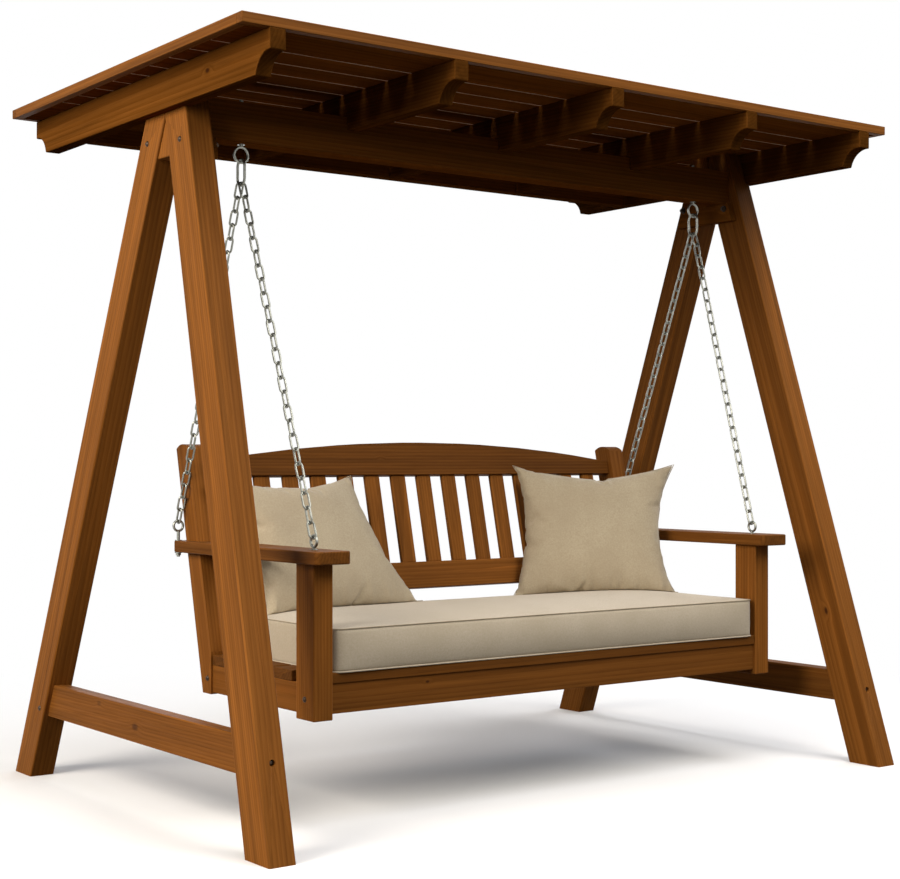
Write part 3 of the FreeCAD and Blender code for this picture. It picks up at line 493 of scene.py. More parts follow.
    @staticmethod
    def _facing(tree: bpy.types.NodeTree, direction: Vector, most: float) -> bpy.types.NodeSocket:
        """Find the faces of a board that are turned along a direction.

        Args:
            tree: The material's node tree.
            direction: The direction in the node's own axes, either way along it.
            most: The share that a face square to it gets.

        Returns:
            The share, none on the faces that run along it.
        """
        normal = add_node(tree, "TexCoord").outputs["Normal"]
        along = add_node(
            tree, "VectorMath", {0: normal, 1: direction}, operation="DOT_PRODUCT"
        ).outputs["Value"]
        turned = add_node(tree, "Math", {0: along}, operation="ABSOLUTE").outputs[0]
        return add_node(
            tree, "MapRange", {"Value": turned, "From Min": 0.6, "From Max": 0.92, "To Max": most}
        ).outputs[0]

    @staticmethod
    def _stretched_noise(
        tree: bpy.types.NodeTree,
        place: bpy.types.NodeSocket,
        width: float,
        stretch: float,
        detail: float,
    ) -> bpy.types.NodeSocket:
        """Make noise that is drawn out along the grain.

        Args:
            tree: The material's node tree.
            place: The place in the board, with the grain along Z.
            width: How wide one streak is, in metres.
            stretch: How many times longer than wide a streak is.
            detail: How many finer octaves it has.

        Returns:
            The noise, about a half in the middle.
        """
        scale = (1 / width, 1 / width, 1 / width / stretch)
        drawn = add_node(tree, "VectorMath", {0: place, 1: scale}, operation="MULTIPLY").outputs[0]
        settings = {"Vector": drawn, "Scale": 1.0, "Detail": detail}
        return add_node(tree, "TexNoise", settings).outputs["Fac"]

    def _bend_round_knots(
        self,
        tree: bpy.types.NodeTree,
        scattered: bpy.types.NodeSocket,
        aligned: bpy.types.NodeSocket,
        knots: tuple[Knot, ...],
        turn: Quaternion,
        shift: Vector,
    ) -> tuple[bpy.types.NodeSocket, bpy.types.NodeSocket]:
        """Bend the rings round each knot and find its dark core.

        Args:
            tree: The material's node tree.
            scattered: The place in the tree, with each board's own shift.
            aligned: The place in the board, without it.
            knots: The board's knots.
            turn: The turn from the part's axes to the grain.
            shift: The shift from the part's place to the place in the tree.

        Returns:
            The place for the rings, and the share of knot wood.
        """
        core = add_node(tree, "Math", {0: 0.0, 1: 0.0}, operation="ADD").outputs[0]
        for knot in knots:
            middle = turn @ Vector(knot.place) + shift
            away = add_node(
                tree, "VectorMath", {0: aligned, 1: middle}, operation="SUBTRACT"
            ).outputs[0]
            squeezed = add_node(
                tree,
                "VectorMath",
                {0: away, 1: (1.0, 1.0, self.knot_squeeze)},
                operation="MULTIPLY",
            ).outputs[0]
            distance = add_node(
                tree, "VectorMath", {0: squeezed}, operation="LENGTH"
            ).outputs["Value"]
            near = add_node(
                tree,
                "MapRange",
                {"Value": distance, "From Min": knot.width * self.knot_reach, "From Max": 0.0},
                interpolation_type="SMOOTHSTEP",
            ).outputs[0]
            scattered = add_node(
                tree,
                "VectorMath",
                {0: near, 1: self.knot_bend, 2: scattered},
                operation="MULTIPLY_ADD",
            ).outputs[0]
            dark = add_node(
                tree,
                "MapRange",
                {
                    "Value": distance,
                    "From Min": knot.width * 0.6,
                    "From Max": knot.width / 6,
                    "To Max": knot.darkness,
                },
                interpolation_type="SMOOTHSTEP",
            ).outputs[0]
            core = add_node(tree, "Math", {0: core, 1: dark}, operation="MAXIMUM").outputs[0]
        return scattered, core


@dataclass(frozen=True)
class GalvanisedSteel:
    """Hot-dipped steel wire: a dull grey zinc skin with faint spangle and soft, broad glints."""

    name: str = "galvanised_steel"
    zinc: str = "#ACADA4"
    dull_zinc: str = "#6C6D64"
    spangle: float = 5 * MM
    spangle_share: float = 0.4
    cloud_scale: float = 60.0  # dull patches of about 17 mm
    roughness_low: float = 0.24
    roughness_high: float = 0.44
    relief: float = 0.05 * MM

    def material(self) -> bpy.types.Material:
        """Return the finish as one material for every zinc piece."""
        material, tree = blank_material(self.name)
        place = add_node(tree, "TexCoord").outputs["Object"]
        flakes = add_node(
            tree, "TexVoronoi", {"Vector": place, "Scale": 1 / self.spangle}
        ).outputs["Color"]
        clouds = add_node(
            tree, "TexNoise", {"Vector": place, "Scale": self.cloud_scale, "Detail": 3.0}
        ).outputs["Fac"]
        bright = add_node(
            tree,
            "Mix",
            {"Factor": self.spangle_share, MIX_A: clouds, MIX_B: flakes},
            data_type="RGBA",
        ).outputs[MIX_RESULT]
        skin = add_node(
            tree,
            "Mix",
            {"Factor": bright, MIX_A: linear(self.dull_zinc), MIX_B: linear(self.zinc)},
            data_type="RGBA",
        ).outputs[MIX_RESULT]
        roughness = add_node(
            tree,
            "MapRange",
            {"Value": clouds, "To Min": self.roughness_high, "To Max": self.roughness_low},
        ).outputs[0]
        relief = add_node(
            tree, "Bump", {"Height": clouds, "Strength": 0.4, "Distance": self.relief}
        ).outputs[0]
        shader = add_node(
            tree,
            "BsdfPrincipled",
            {"Base Color": skin, "Metallic": 1.0, "Roughness": roughness, "Normal": relief},
        )
        add_node(tree, "OutputMaterial", {"Surface": shader.outputs[0]})
        return material


@dataclass(frozen=True)
class BlackenedSteel:
    """Bolts blackened in oil: near black with a faint brown bloom and a low sheen."""

    name: str = "blackened_steel"
    oxide: str = "#332D28"
    bloom: str = "#4B3A2C"
    bloom_size: float = 3 * MM
    metallic: float = 0.9
    roughness: float = 0.42

    def material(self) -> bpy.types.Material:
        """Return the finish as one material for every dark bolt."""
        material, tree = blank_material(self.name)
        place = add_node(tree, "TexCoord").outputs["Object"]
        clouds = add_node(
            tree, "TexNoise", {"Vector": place, "Scale": 1 / self.bloom_size, "Detail": 2.0}
        ).outputs["Fac"]
        skin = add_node(
            tree,
            "Mix",
            {"Factor": clouds, MIX_A: linear(self.oxide), MIX_B: linear(self.bloom)},
            data_type="RGBA",
        ).outputs[MIX_RESULT]
        shader = add_node(
            tree,
            "BsdfPrincipled",
            {"Base Color": skin, "Metallic": self.metallic, "Roughness": self.roughness},
        )
        add_node(tree, "OutputMaterial", {"Surface": shader.outputs[0]})
        return material


@dataclass(frozen=True)
class CottonCanvas:
    """Plain-woven cotton canvas: matt, with a fine even thread and a little fuzz at the edges."""

    name: str
    thread: str = "#B4A78D"
    worn_thread: str = "#A2937A"
    thread_pitch: float = 1.4 * MM  # about twice as coarse as real, so that it shows close up
    slub_scale: float = 220.0  # thick places in the thread, about 5 mm long
    patch_scale: float = 7.0  # worn places, about 140 mm across
    most_wear: float = 0.8
    # Painted shade and highlight of the weave: its hollows darker and its crests lighter.
    hollow_shade_tone: float = 0.94
    crest_highlight_tone: float = 1.03
    slub_height: float = 0.6
    roughness: float = 0.92
    index_of_refraction: float = 1.45
    fuzz: float = 0.25
    relief: float = 0.3 * MM

    def material(self) -> bpy.types.Material:
        """Return the finish as a material whose threads follow the piece's own axes."""
        material, tree = blank_material(self.name)
        place = add_node(tree, "TexCoord").outputs["Object"]
        axes = add_node(tree, "SeparateXYZ", {0: place}).outputs
        depth = add_node(tree, "Math", {0: axes[1], 1: axes[2]}, operation="ADD").outputs[0]
        turns = math.tau / self.thread_pitch
        waves = []
        for line in (axes[0], depth):
            angle = add_node(tree, "Math", {0: line, 1: turns}, operation="MULTIPLY").outputs[0]
            waves.append(add_node(tree, "Math", {0: angle}, operation="SINE").outputs[0])
        weave = add_node(tree, "Math", {0: waves[0], 1: waves[1]}, operation="MULTIPLY").outputs[0]
        weave_share = add_node(tree, "MapRange", {"Value": weave, "From Min": -1.0}).outputs[0]
        slubs = add_node(
            tree, "TexNoise", {"Vector": place, "Scale": self.slub_scale, "Detail": 2.0}
        ).outputs["Fac"]
        patches = add_node(
            tree, "TexNoise", {"Vector": place, "Scale": self.patch_scale, "Detail": 3.0}
        ).outputs["Fac"]
        wear = add_node(tree, "Math", {0: patches, 1: slubs}, operation="MULTIPLY").outputs[0]
        wear_share = add_node(
            tree,
            "MapRange",
            {"Value": wear, "From Min": 0.12, "From Max": 0.4, "To Max": self.most_wear},
        ).outputs[0]
        cloth = add_node(
            tree,
            "Mix",
            {"Factor": wear_share, MIX_A: linear(self.worn_thread), MIX_B: linear(self.thread)},
            data_type="RGBA",
        ).outputs[MIX_RESULT]
        # Painted shade in the weave's hollows and a painted highlight on its crests.
        weave_shading = add_node(
            tree,
            "MapRange",
            {"Value": weave_share, "To Min": self.hollow_shade_tone, "To Max": self.crest_highlight_tone},
        ).outputs[0]
        colour = add_node(
            tree,
            "Mix",
            {"Factor": 1.0, MIX_A: cloth, MIX_B: weave_shading},
            data_type="RGBA",
            blend_type="MULTIPLY",
        ).outputs[MIX_RESULT]
        height = add_node(
            tree, "Math", {0: slubs, 1: self.slub_height, 2: weave_share}, operation="MULTIPLY_ADD"
        ).outputs[0]
        relief = add_node(
            tree, "Bump", {"Height": height, "Strength": 0.5, "Distance": self.relief}
        ).outputs[0]
        shader = add_node(
            tree,
            "BsdfPrincipled",
            {
                "Base Color": colour,
                "Roughness": self.roughness,
                "IOR": self.index_of_refraction,
                "Sheen Weight": self.fuzz,
                "Normal": relief,
            },
        )
        add_node(tree, "OutputMaterial", {"Surface": shader.outputs[0]})
        return material


class TimberWork:
    """The finishing of timber nodes: each gets its grain, and an arris where it was left sharp."""

    weld_gap: float = 0.01 * MM
    arris_steps: int = 3
    arris_turn: float = math.radians(35)
    flat_turn: float = math.radians(1)

    def __init__(self, frame: dict, wood: StainedPine) -> None:
        """Keep the frame and the finish.

        Args:
            wood: The finish of all the timber.
        """
        self.frame = frame
        self.wood = wood

    def finish(self, boards: Iterable[Board]) -> None:
        """Dress each board's node.

        Args:
            boards: How each node's timber was cut.
        """
        for board in boards:
            piece = self.frame["nodes"][board.node]
            points = corners_of(piece)
            axis = long_axis(points)
            if board.grain is Grain.RAKED:
                axis = Vector((0, math.sin(BACK_RAKE), math.cos(BACK_RAKE)))
            low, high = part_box(board.node)
            dress(piece, self.wood.material(board, axis, (low + high) / 2, low.z))
            weld = piece.modifiers.new("Joined faces", "WELD")
            weld.merge_threshold = self.weld_gap
            if board.arris:
                flat = piece.modifiers.new("Plain faces", "DECIMATE")
                flat.decimate_type = "DISSOLVE"
                flat.angle_limit = self.flat_turn
                self._ease(piece, board.arris)
            LOG.info("timber %s", board.node)

    def _ease(self, piece: bpy.types.Object, radius: float) -> None:
        """Round a piece's sharp arrises.

        Args:
            piece: The piece, which keeps its own mesh.
            radius: How far the rounding reaches, in metres.
        """
        bevel = piece.modifiers.new("Arris", "BEVEL")
        bevel.width = radius
        bevel.segments = self.arris_steps
        bevel.limit_method = "ANGLE"
        bevel.angle_limit = self.arris_turn
        bevel.use_clamp_overlap = True
        normals = piece.modifiers.new("Even shading", "WEIGHTED_NORMAL")
        normals.keep_sharp = True


@dataclass
class TimberGroup:
    """A sub-assembly of timber nodes, with the nodes of the bolts that hold it."""

    arris: float = 3 * MM
    bolts: tuple[str, ...] = ()
    boards: list[Board] = field(init=False, default_factory=list)

    def build(self, timber: TimberWork, frame: dict, steel: bpy.types.Material) -> None:
        """Dress the timber and its bolts.

        Args:
            timber: The timber finisher.
            steel: The bolts' material.
        """
        timber.finish(self.boards)
        for node in self.bolts:
            dress(frame["nodes"][node], steel)
            LOG.info("bolts %s", node)


@dataclass
class LeaningFrames(TimberGroup):
    """The two A-frames and the beam that they carry."""

    bolts: tuple[str, ...] = ("apex_bolts", "stretcher_bolts")

    def __post_init__(self) -> None:
        """List the timber: the beam and wedges were left sharp in the frame."""
        self.boards = [Board("main_beam", tone=1.1, arris=self.arris, matt=True)]
        for side in ("left", "right"):
            self.boards += [
                Board(side + "_front_leg"),
                Board(side + "_rear_leg"),
                Board(side + "_stretcher", tone=0.87),
                Board(side + "_apex_wedge", arris=self.arris),
                Board(side + "_beam_cleat", matt=True),
            ]


@dataclass
class SlattedRoof(TimberGroup):
    """The rafters, the purlin, the deck and its edge trims."""

    rafters: int = 5

    def __post_init__(self) -> None:
        """List the timber of the roof."""
        # The rafters' low tone and end tone are partly their own darker timber and end grain, and
        # partly painted shade for the shade under the roof's front edge.
        self.boards = [
            Board(f"rafter_{number}", tone=0.6, arris=self.arris, end_tone=0.5, matt=True)
            for number in range(1, self.rafters + 1)
        ]
        self.boards += [
            Board("rear_purlin", arris=self.arris, matt=True),
            Board("roof_slats", tone=1.15, sawn_edges=True, matt=True),
            Board("front_roof_board", tone=1.15, matt=True),
            Board("rear_roof_board", tone=1.15, matt=True),
        ]
        self.boards += [
            Board(f"roof_{side}_edge", tone=0.8) for side in ("front", "rear", "left", "right")
        ]


@dataclass
class Bench(TimberGroup):
    """The hanging bench: its corner posts, rails, boards, armrests and slatted back."""

    bolts: tuple[str, ...] = ("seat_bolts",)

    def __post_init__(self) -> None:
        """List the timber of the bench."""
        for side in ("left", "right"):
            self.boards += [
                Board(side + "_front_post"),
                Board(side + "_back_post", arris=self.arris),
                Board(side + "_armrest", tone=0.68, end_tone=0.9),
                Board(side + "_side_rail", arris=self.arris),
            ]
        self.boards += [
            Board("front_seat_rail", tone=0.76, arris=self.arris),
            Board("rear_seat_rail", arris=self.arris),
            Board("seat_bearer_1", arris=self.arris),
            Board("seat_bearer_2", arris=self.arris),
            # Painted shade: the low tone darkens the boards' front edge, which lies in the shade
            # under the seat cushion.
            Board("seat_boards", tone=0.62),
            Board("back_lower_rail"),
            Board("back_top_rail", tone=0.66, arris=self.arris),
            Board("back_slats", grain=Grain.RAKED),
        ]


class Hangers:
    """The eye bolts, connectors, chains and arm eyes that the bench hangs on."""

    parts: tuple[str, ...] = (
        "eye_bolt",
        "connector",
        "front_chain",
        "rear_chain",
        "front_arm_eye",
        "rear_arm_eye",
    )

    def build(self, frame: dict, zinc: bpy.types.Material) -> None:
        """Dress the steel.

        Args:
            zinc: The steel's material.
        """
        for side in ("left", "right"):
            for part in self.parts:
                dress(frame["nodes"][f"{side}_{part}"], zinc)
                LOG.info("steel %s_%s", side, part)


@dataclass(frozen=True)
class Filling:
    """How hard a sewn cover is blown up by its filling, and for how long."""

    pressure: float
    frames: int
    quality: int = 6
    tension: float = 25.0
    bending: float = 0.4
    shrink: float = 0.0

    def fill(self, cover: bpy.types.Object, held: str | None = None) -> None:
        """Swell a cover with its filling and keep the shape.

        Args:
            cover: The sewn cover.
            held: The vertex group that doesn't move, if any.
        """
        scene = bpy.context.scene
        modifier = cover.modifiers.new("Filled cover", "CLOTH")
        settings = modifier.settings
        settings.quality = self.quality
        settings.tension_stiffness = self.tension
        settings.compression_stiffness = self.tension
        settings.shear_stiffness = self.tension / 3
        settings.bending_stiffness = self.bending
        settings.use_pressure = True
        settings.uniform_pressure_force = self.pressure
        settings.shrink_min = self.shrink
        settings.effector_weights.gravity = 0
        if held:
            settings.vertex_group_mass = held
        modifier.point_cache.frame_start = 1
        modifier.point_cache.frame_end = self.frames
        for number in range(1, self.frames + 1):
            scene.frame_set(number)
        settle(cover)
        scene.frame_set(1)


@dataclass
class BoxCushion:
    """The long seat cushion: two panels and a boxing strip, with a piped seam top and bottom."""

    node: str = "seat_cushion"
    body: str = "swing"
    corner: float = 30 * MM
    cell: float = 11 * MM
    crown: float = 9 * MM
    draw: float = 6 * MM
    top_seam: float = 2.4 * MM
    bottom_piping: float = 4.5 * MM
    front_bulge: float = 9 * MM
    most_swell: float = 10 * MM
    half: Vector = field(init=False)
    filling: Filling = Filling(pressure=7, frames=18, bending=1.5)

    def build(self, cloth: bpy.types.Material, shaded: bpy.types.Material) -> bpy.types.Object:
        """Sew, fill and pipe the cushion.

        Args:
            cloth: The cover's material, also round the bottom piping.
            shaded: The top seam's material, darker as painted shade for the crease that it lies in.

        Returns:
            The cushion, riding on the swing.
        """
        low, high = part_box(self.node)
        middle = (low + high) / 2
        self.half = (high - low) / 2
        self.half.z -= self.crown / 2
        middle.z -= self.crown / 2
        cover, seams = self._sew()
        cover.location = middle
        self._fill(cover, seams)
        smooth_cloth(cover)
        dress(cover, cloth)
        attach(cover, self.body)
        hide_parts(self.node)
        looks = {"bottom": (self.bottom_piping, cloth), "top": (self.top_seam, shaded)}
        for name, loop in seams.items():
            thickness, material = looks[name]
            points = [Vector(cover.data.vertices[number].co) for number in loop]
            spread = Vector((1, 1, 0))
            strip = pipe_along(f"{self.node}_{name}_piping", points, thickness / 2, spread)
            strip.location = middle
            dress(strip, material)
            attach(strip, self.body)
            LOG.info("piping %s", strip.name)
        LOG.info("cushion %s", cover.name)
        return cover

    def _place(self, step: tuple[int, int, int], counts: tuple[int, int, int]) -> Vector:
        """Return where one corner of the cover's cells lies before it is filled."""
        shares = Vector(2 * number / count - 1 for number, count in zip(step, counts))
        place = Vector(share * half for share, half in zip(shares, self.half))
        inner = Vector((self.half.x - self.corner, self.half.y - self.corner))
        out = Vector(
            math.copysign(max(abs(along) - limit, 0), along)
            for along, limit in zip(place.xy, inner)
        )
        if out.length:
            round_out = out.normalized() * max(abs(out.x), abs(out.y))
            place.x += round_out.x - out.x
            place.y += round_out.y - out.y
        place.x -= self.draw * shares.x * (1 - shares.y**2) ** 2
        place.y -= self.draw * shares.y * (1 - shares.x**2)
        if step[2] == counts[2]:
            place.z += self.crown * (1 - shares.x**6) * (1 - shares.y**4)
        if step[1] == 0:
            place.y -= self.front_bulge * (1 - shares.z**2) * (1 - shares.x**8)
        return place

    def _sew(self) -> tuple[bpy.types.Object, dict[str, list[int]]]:
        """Make the cover from square cells.

        Returns:
            The cover, and the corners along its top and bottom seams in order.
        """
        counts = tuple(max(2, round(2 * half / self.cell)) for half in self.half)
        numbers: dict[tuple[int, int, int], int] = {}
        places: list[Vector] = []
        faces: list[tuple[int, ...]] = []

        def corner(step: tuple[int, int, int]) -> int:
            """Return the number of one cell corner, made once."""
            if step not in numbers:
                numbers[step] = len(places)
                places.append(self._place(step, counts))
            return numbers[step]

        for axis in range(3):
            across, up = (axis + 1) % 3, (axis + 2) % 3
            for end in (0, counts[axis]):
                for i in range(counts[across]):
                    for j in range(counts[up]):
                        ring = []
                        for di, dj in ((0, 0), (1, 0), (1, 1), (0, 1)):
                            step = [0, 0, 0]
                            step[axis], step[across], step[up] = end, i + di, j + dj
                            ring.append(corner(tuple(step)))
                        faces.append(tuple(ring if end else reversed(ring)))
        cover = new_piece("seat_cushion_cover", places, faces)
        seams = {}
        for name, level in (("bottom", 0), ("top", counts[2])):
            lap = [(i, 0) for i in range(counts[0])]
            lap += [(counts[0], j) for j in range(counts[1])]
            lap += [(i, counts[1]) for i in range(counts[0], 0, -1)]
            lap += [(0, j) for j in range(counts[1], 0, -1)]
            seams[name] = [numbers[(i, j, level)] for i, j in lap]
        return cover, seams

    def _fill(self, cover: bpy.types.Object, seams: dict[str, list[int]]) -> None:
        """Swell the panels between the seams, no further than the cloth gives.

        Args:
            cover: The sewn cover.
            seams: The corners along its seams, which stay in place.
        """
        before = corners_of(cover)
        held = cover.vertex_groups.new(name="seams")
        for loop in seams.values():
            held.add(loop, 1.0, "REPLACE")
        self.filling.fill(cover, held.name)
        moved = corners_of(cover) - before
        reach = np.linalg.norm(moved, axis=1, keepdims=True)
        share = np.minimum(1, self.most_swell / np.maximum(reach, self.most_swell / 100))
        move_corners(cover, before + moved * share)


def pipe_along(
    name: str, points: list[Vector], radius: float, spread: Vector
) -> bpy.types.Object:
    """Make a closed cord along points, standing out from their middle by a third of its radius.

    Args:
        name: The piece's name.
        points: Where the cord runs.
        radius: Half its thickness.
        spread: A one for each axis that the loop spreads along, and a zero for the third.

    Returns:
        The cord as a mesh.
    """
    vertices = []
    faces = []
    total, sides = len(points), CORD_SIDES
    for number, point in enumerate(points):
        along = (points[(number + 1) % total] - points[number - 1]).normalized()
        out = point * spread
        out = (out - along * out.dot(along)).normalized()
        up = along.cross(out).normalized()
        middle = point + out * radius / 3
        for side in range(sides):
            turn = math.tau * side / sides
            vertices.append(middle + (out * math.cos(turn) + up * math.sin(turn)) * radius)
            here, ahead = number * sides, (number + 1) % total * sides
            beside = (side + 1) % sides
            faces.append((here + side, ahead + side, ahead + beside, here + beside))
    return new_piece(name, vertices, faces)


@dataclass
class ScatterCushion:
    """A square-cut cushion of two panels sewn edge to edge, blown up by its filling."""

    side: str
    turn: float
    lean: float
    slump: float
    shift: float
    taper: float = 0.0
    width: float = 490 * MM
    length: float = 410 * MM
    thickness: float = 118 * MM
    cell: float = 9 * MM
    cut_in: tuple[float, float] = (14 * MM, 14 * MM)
    end_cut_in: float = 12 * MM
    sag: float = 8 * MM
    pucker: float = 3.6 * MM
    pucker_pitch: float = 46 * MM
    pucker_reach: float = 24 * MM
    pucker_shares: tuple[float, ...] = (1.0, 0.62, 1.7)
    body: str = "swing"
    seam: float = 2.6 * MM
    seat_gap: float = 0.3 * MM
    unevenness: float = 0.3 * MM
    filling: Filling = Filling(pressure=9, frames=34, bending=0.15)

    def build(self, cloth: bpy.types.Material, seat: bpy.types.Object) -> bpy.types.Object:
        """Sew and fill the cushion, and lean it in its corner of the bench.

        Args:
            cloth: The cover's material.
            seat: The seat cushion that it stands on.

        Returns:
            The cushion, riding on the swing.
        """
        node = self.side + "_scatter_cushion"
        low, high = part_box(node)
        middle = (low + high) / 2 + Vector((self.shift, 0, 0))
        cover, seam_loop = self._sew()
        self.filling.fill(cover)
        self._fit(cover)
        self._settle_edge(cover, seam_loop)
        self._pucker(cover)
        tip = Euler((-self.lean, 0, 0)).to_matrix().to_4x4()
        cover.matrix_world = Matrix.Translation(middle) @ Matrix.Rotation(self.turn, 4, "Z") @ tip
        self._rest_on(cover, seat, self.seam / 2 + self.seat_gap)
        smooth_cloth(cover)
        dress(cover, cloth)
        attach(cover, self.body)
        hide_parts(node)
        points = [Vector(cover.data.vertices[number].co) for number in seam_loop]
        edge = pipe_along(node + "_seam", points, self.seam / 2, Vector((1, 0, 1)))
        edge.matrix_world = cover.matrix_world
        dress(edge, cloth)
        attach(edge, self.body)
        LOG.info("cushion %s", cover.name)
        return cover

    def _sew(self) -> tuple[bpy.types.Object, list[int]]:
        """Make the two panels, flat and sewn together round their edge.

        Returns:
            The cover, and the corners along its seam in order.
        """
        wide = round(self.width / self.cell)
        tall = round(self.length / self.cell)
        numbers: dict[tuple[int, int, int], int] = {}
        places: list[Vector] = []
        dice = random.Random(self.side)

        def corner(i: int, j: int, panel: int) -> int:
            """Return the number of one cell corner; the panels share those on the seam."""
            key = (i, j, 0 if i in (0, wide) or j in (0, tall) else panel)
            if key not in numbers:
                u, v = 2 * i / wide - 1, 2 * j / tall - 1
                puff = self.thickness / 4 * math.sqrt(max(0, (1 - u**2) * (1 - v**2)))
                numbers[key] = len(places)
                uneven = dice.uniform(-1, 1) * self.unevenness
                across = u * (self.width / 2 - self.cut_in[u > 0] * (1 - v**2))
                up = v * (self.length / 2 - self.end_cut_in * (1 - u**2))
                places.append(Vector((across, key[2] * puff + uneven, up)))
            return numbers[key]

        faces = []
        cell = ((0, 0), (1, 0), (1, 1), (0, 1))
        for panel in (-1, 1):
            for i in range(wide):
                for j in range(tall):
                    ring = [corner(i + a, j + b, panel) for a, b in cell]
                    faces.append(tuple(ring if panel < 0 else reversed(ring)))
        lap = [(i, 0) for i in range(wide)] + [(wide, j) for j in range(tall)]
        lap += [(i, tall) for i in range(wide, 0, -1)] + [(0, j) for j in range(tall, 0, -1)]
        cover = new_piece(self.side + "_scatter_cushion_cover", places, faces)
        return cover, [numbers[(i, j, 0)] for i, j in lap]

    def _fit(self, cover: bpy.types.Object) -> None:
        """Bring the filled cover to its finished width, length and thickness, and slump its top."""
        places = corners_of(cover)
        low, high = places.min(0), places.max(0)
        places -= (low + high) / 2
        places *= np.array((self.width, self.thickness, self.length)) / (high - low)
        rise = places[:, 2] / self.length
        places[:, 0] += self.slump * rise - self.taper * rise * places[:, 0]
        move_corners(cover, places)

    def _settle_edge(self, cover: bpy.types.Object, seam: list[int]) -> None:
        """Let the lower edge sag until it runs level from ear to ear, as it does under its weight.

        Args:
            cover: The fitted cushion, standing on its lower edge.
            seam: The corners along its seam, those of the lower edge first.
        """
        places = corners_of(cover)
        edge = places[seam[: round(self.width / self.cell) + 1]]
        edge = edge[np.argsort(edge[:, 0])]
        lift = np.interp(places[:, 0], edge[:, 0], edge[:, 2] - edge[:, 2].min()) + self.sag
        low, high = places[:, 2].min(), places[:, 2].max()
        share = np.clip((high + low - 2 * places[:, 2]) / (high - low), 0, 1)
        places[:, 2] -= lift * share**1.5
        move_corners(cover, places)

    def _pucker(self, cover: bpy.types.Object) -> None:
        """Gather the cloth in short folds that run in from the seam and die out.

        Args:
            cover: The fitted cushion.
        """
        dice = random.Random(self.side + " folds")
        places = corners_of(cover)
        rise = np.zeros(len(places))
        for along, across in ((0, 2), (2, 0)):
            reach = np.abs(places[:, across]).max()
            for way in (-1, 1):
                inward = np.clip(reach - way * places[:, across], 0, None) / self.pucker_reach
                window = (inward * np.exp(1 - inward)) ** 2
                for share in self.pucker_shares:
                    start = dice.uniform(0, math.tau)
                    turns = math.tau * places[:, along] / (self.pucker_pitch * share)
                    rise += window * np.sin(turns + start) * dice.uniform(0.3, 0.7)
        places[:, 1] += np.sign(places[:, 1]) * rise * self.pucker * (np.abs(places[:, 1]) > MM)
        move_corners(cover, places)

    def _rest_on(self, cover: bpy.types.Object, seat: bpy.types.Object, gap: float) -> None:
        """Flatten the cover's underside where it lies on the seat cushion.

        Args:
            cover: The cushion, in place.
            seat: The seat cushion.
            gap: How close the two come.
        """
        bpy.context.view_layer.update()
        tree = BVHTree.FromObject(seat, bpy.context.evaluated_depsgraph_get())
        to_seat = seat.matrix_world.inverted() @ cover.matrix_world
        back = to_seat.inverted()
        above = Vector((0, 0, 1))
        for vertex in cover.data.vertices:
            place = to_seat @ vertex.co
            hit = tree.ray_cast(place + above, -above)[0]
            if hit is not None and place.z < hit.z + gap:
                place.z = hit.z + gap
                vertex.co = back @ place
        cover.data.update()


@dataclass(frozen=True)
class Softbox:
    """A square lamp: its place, the length of its side, its power in watts and its colour."""

    name: str
    place: tuple[float, float, float]
    side: float
    power: float
    tint: str


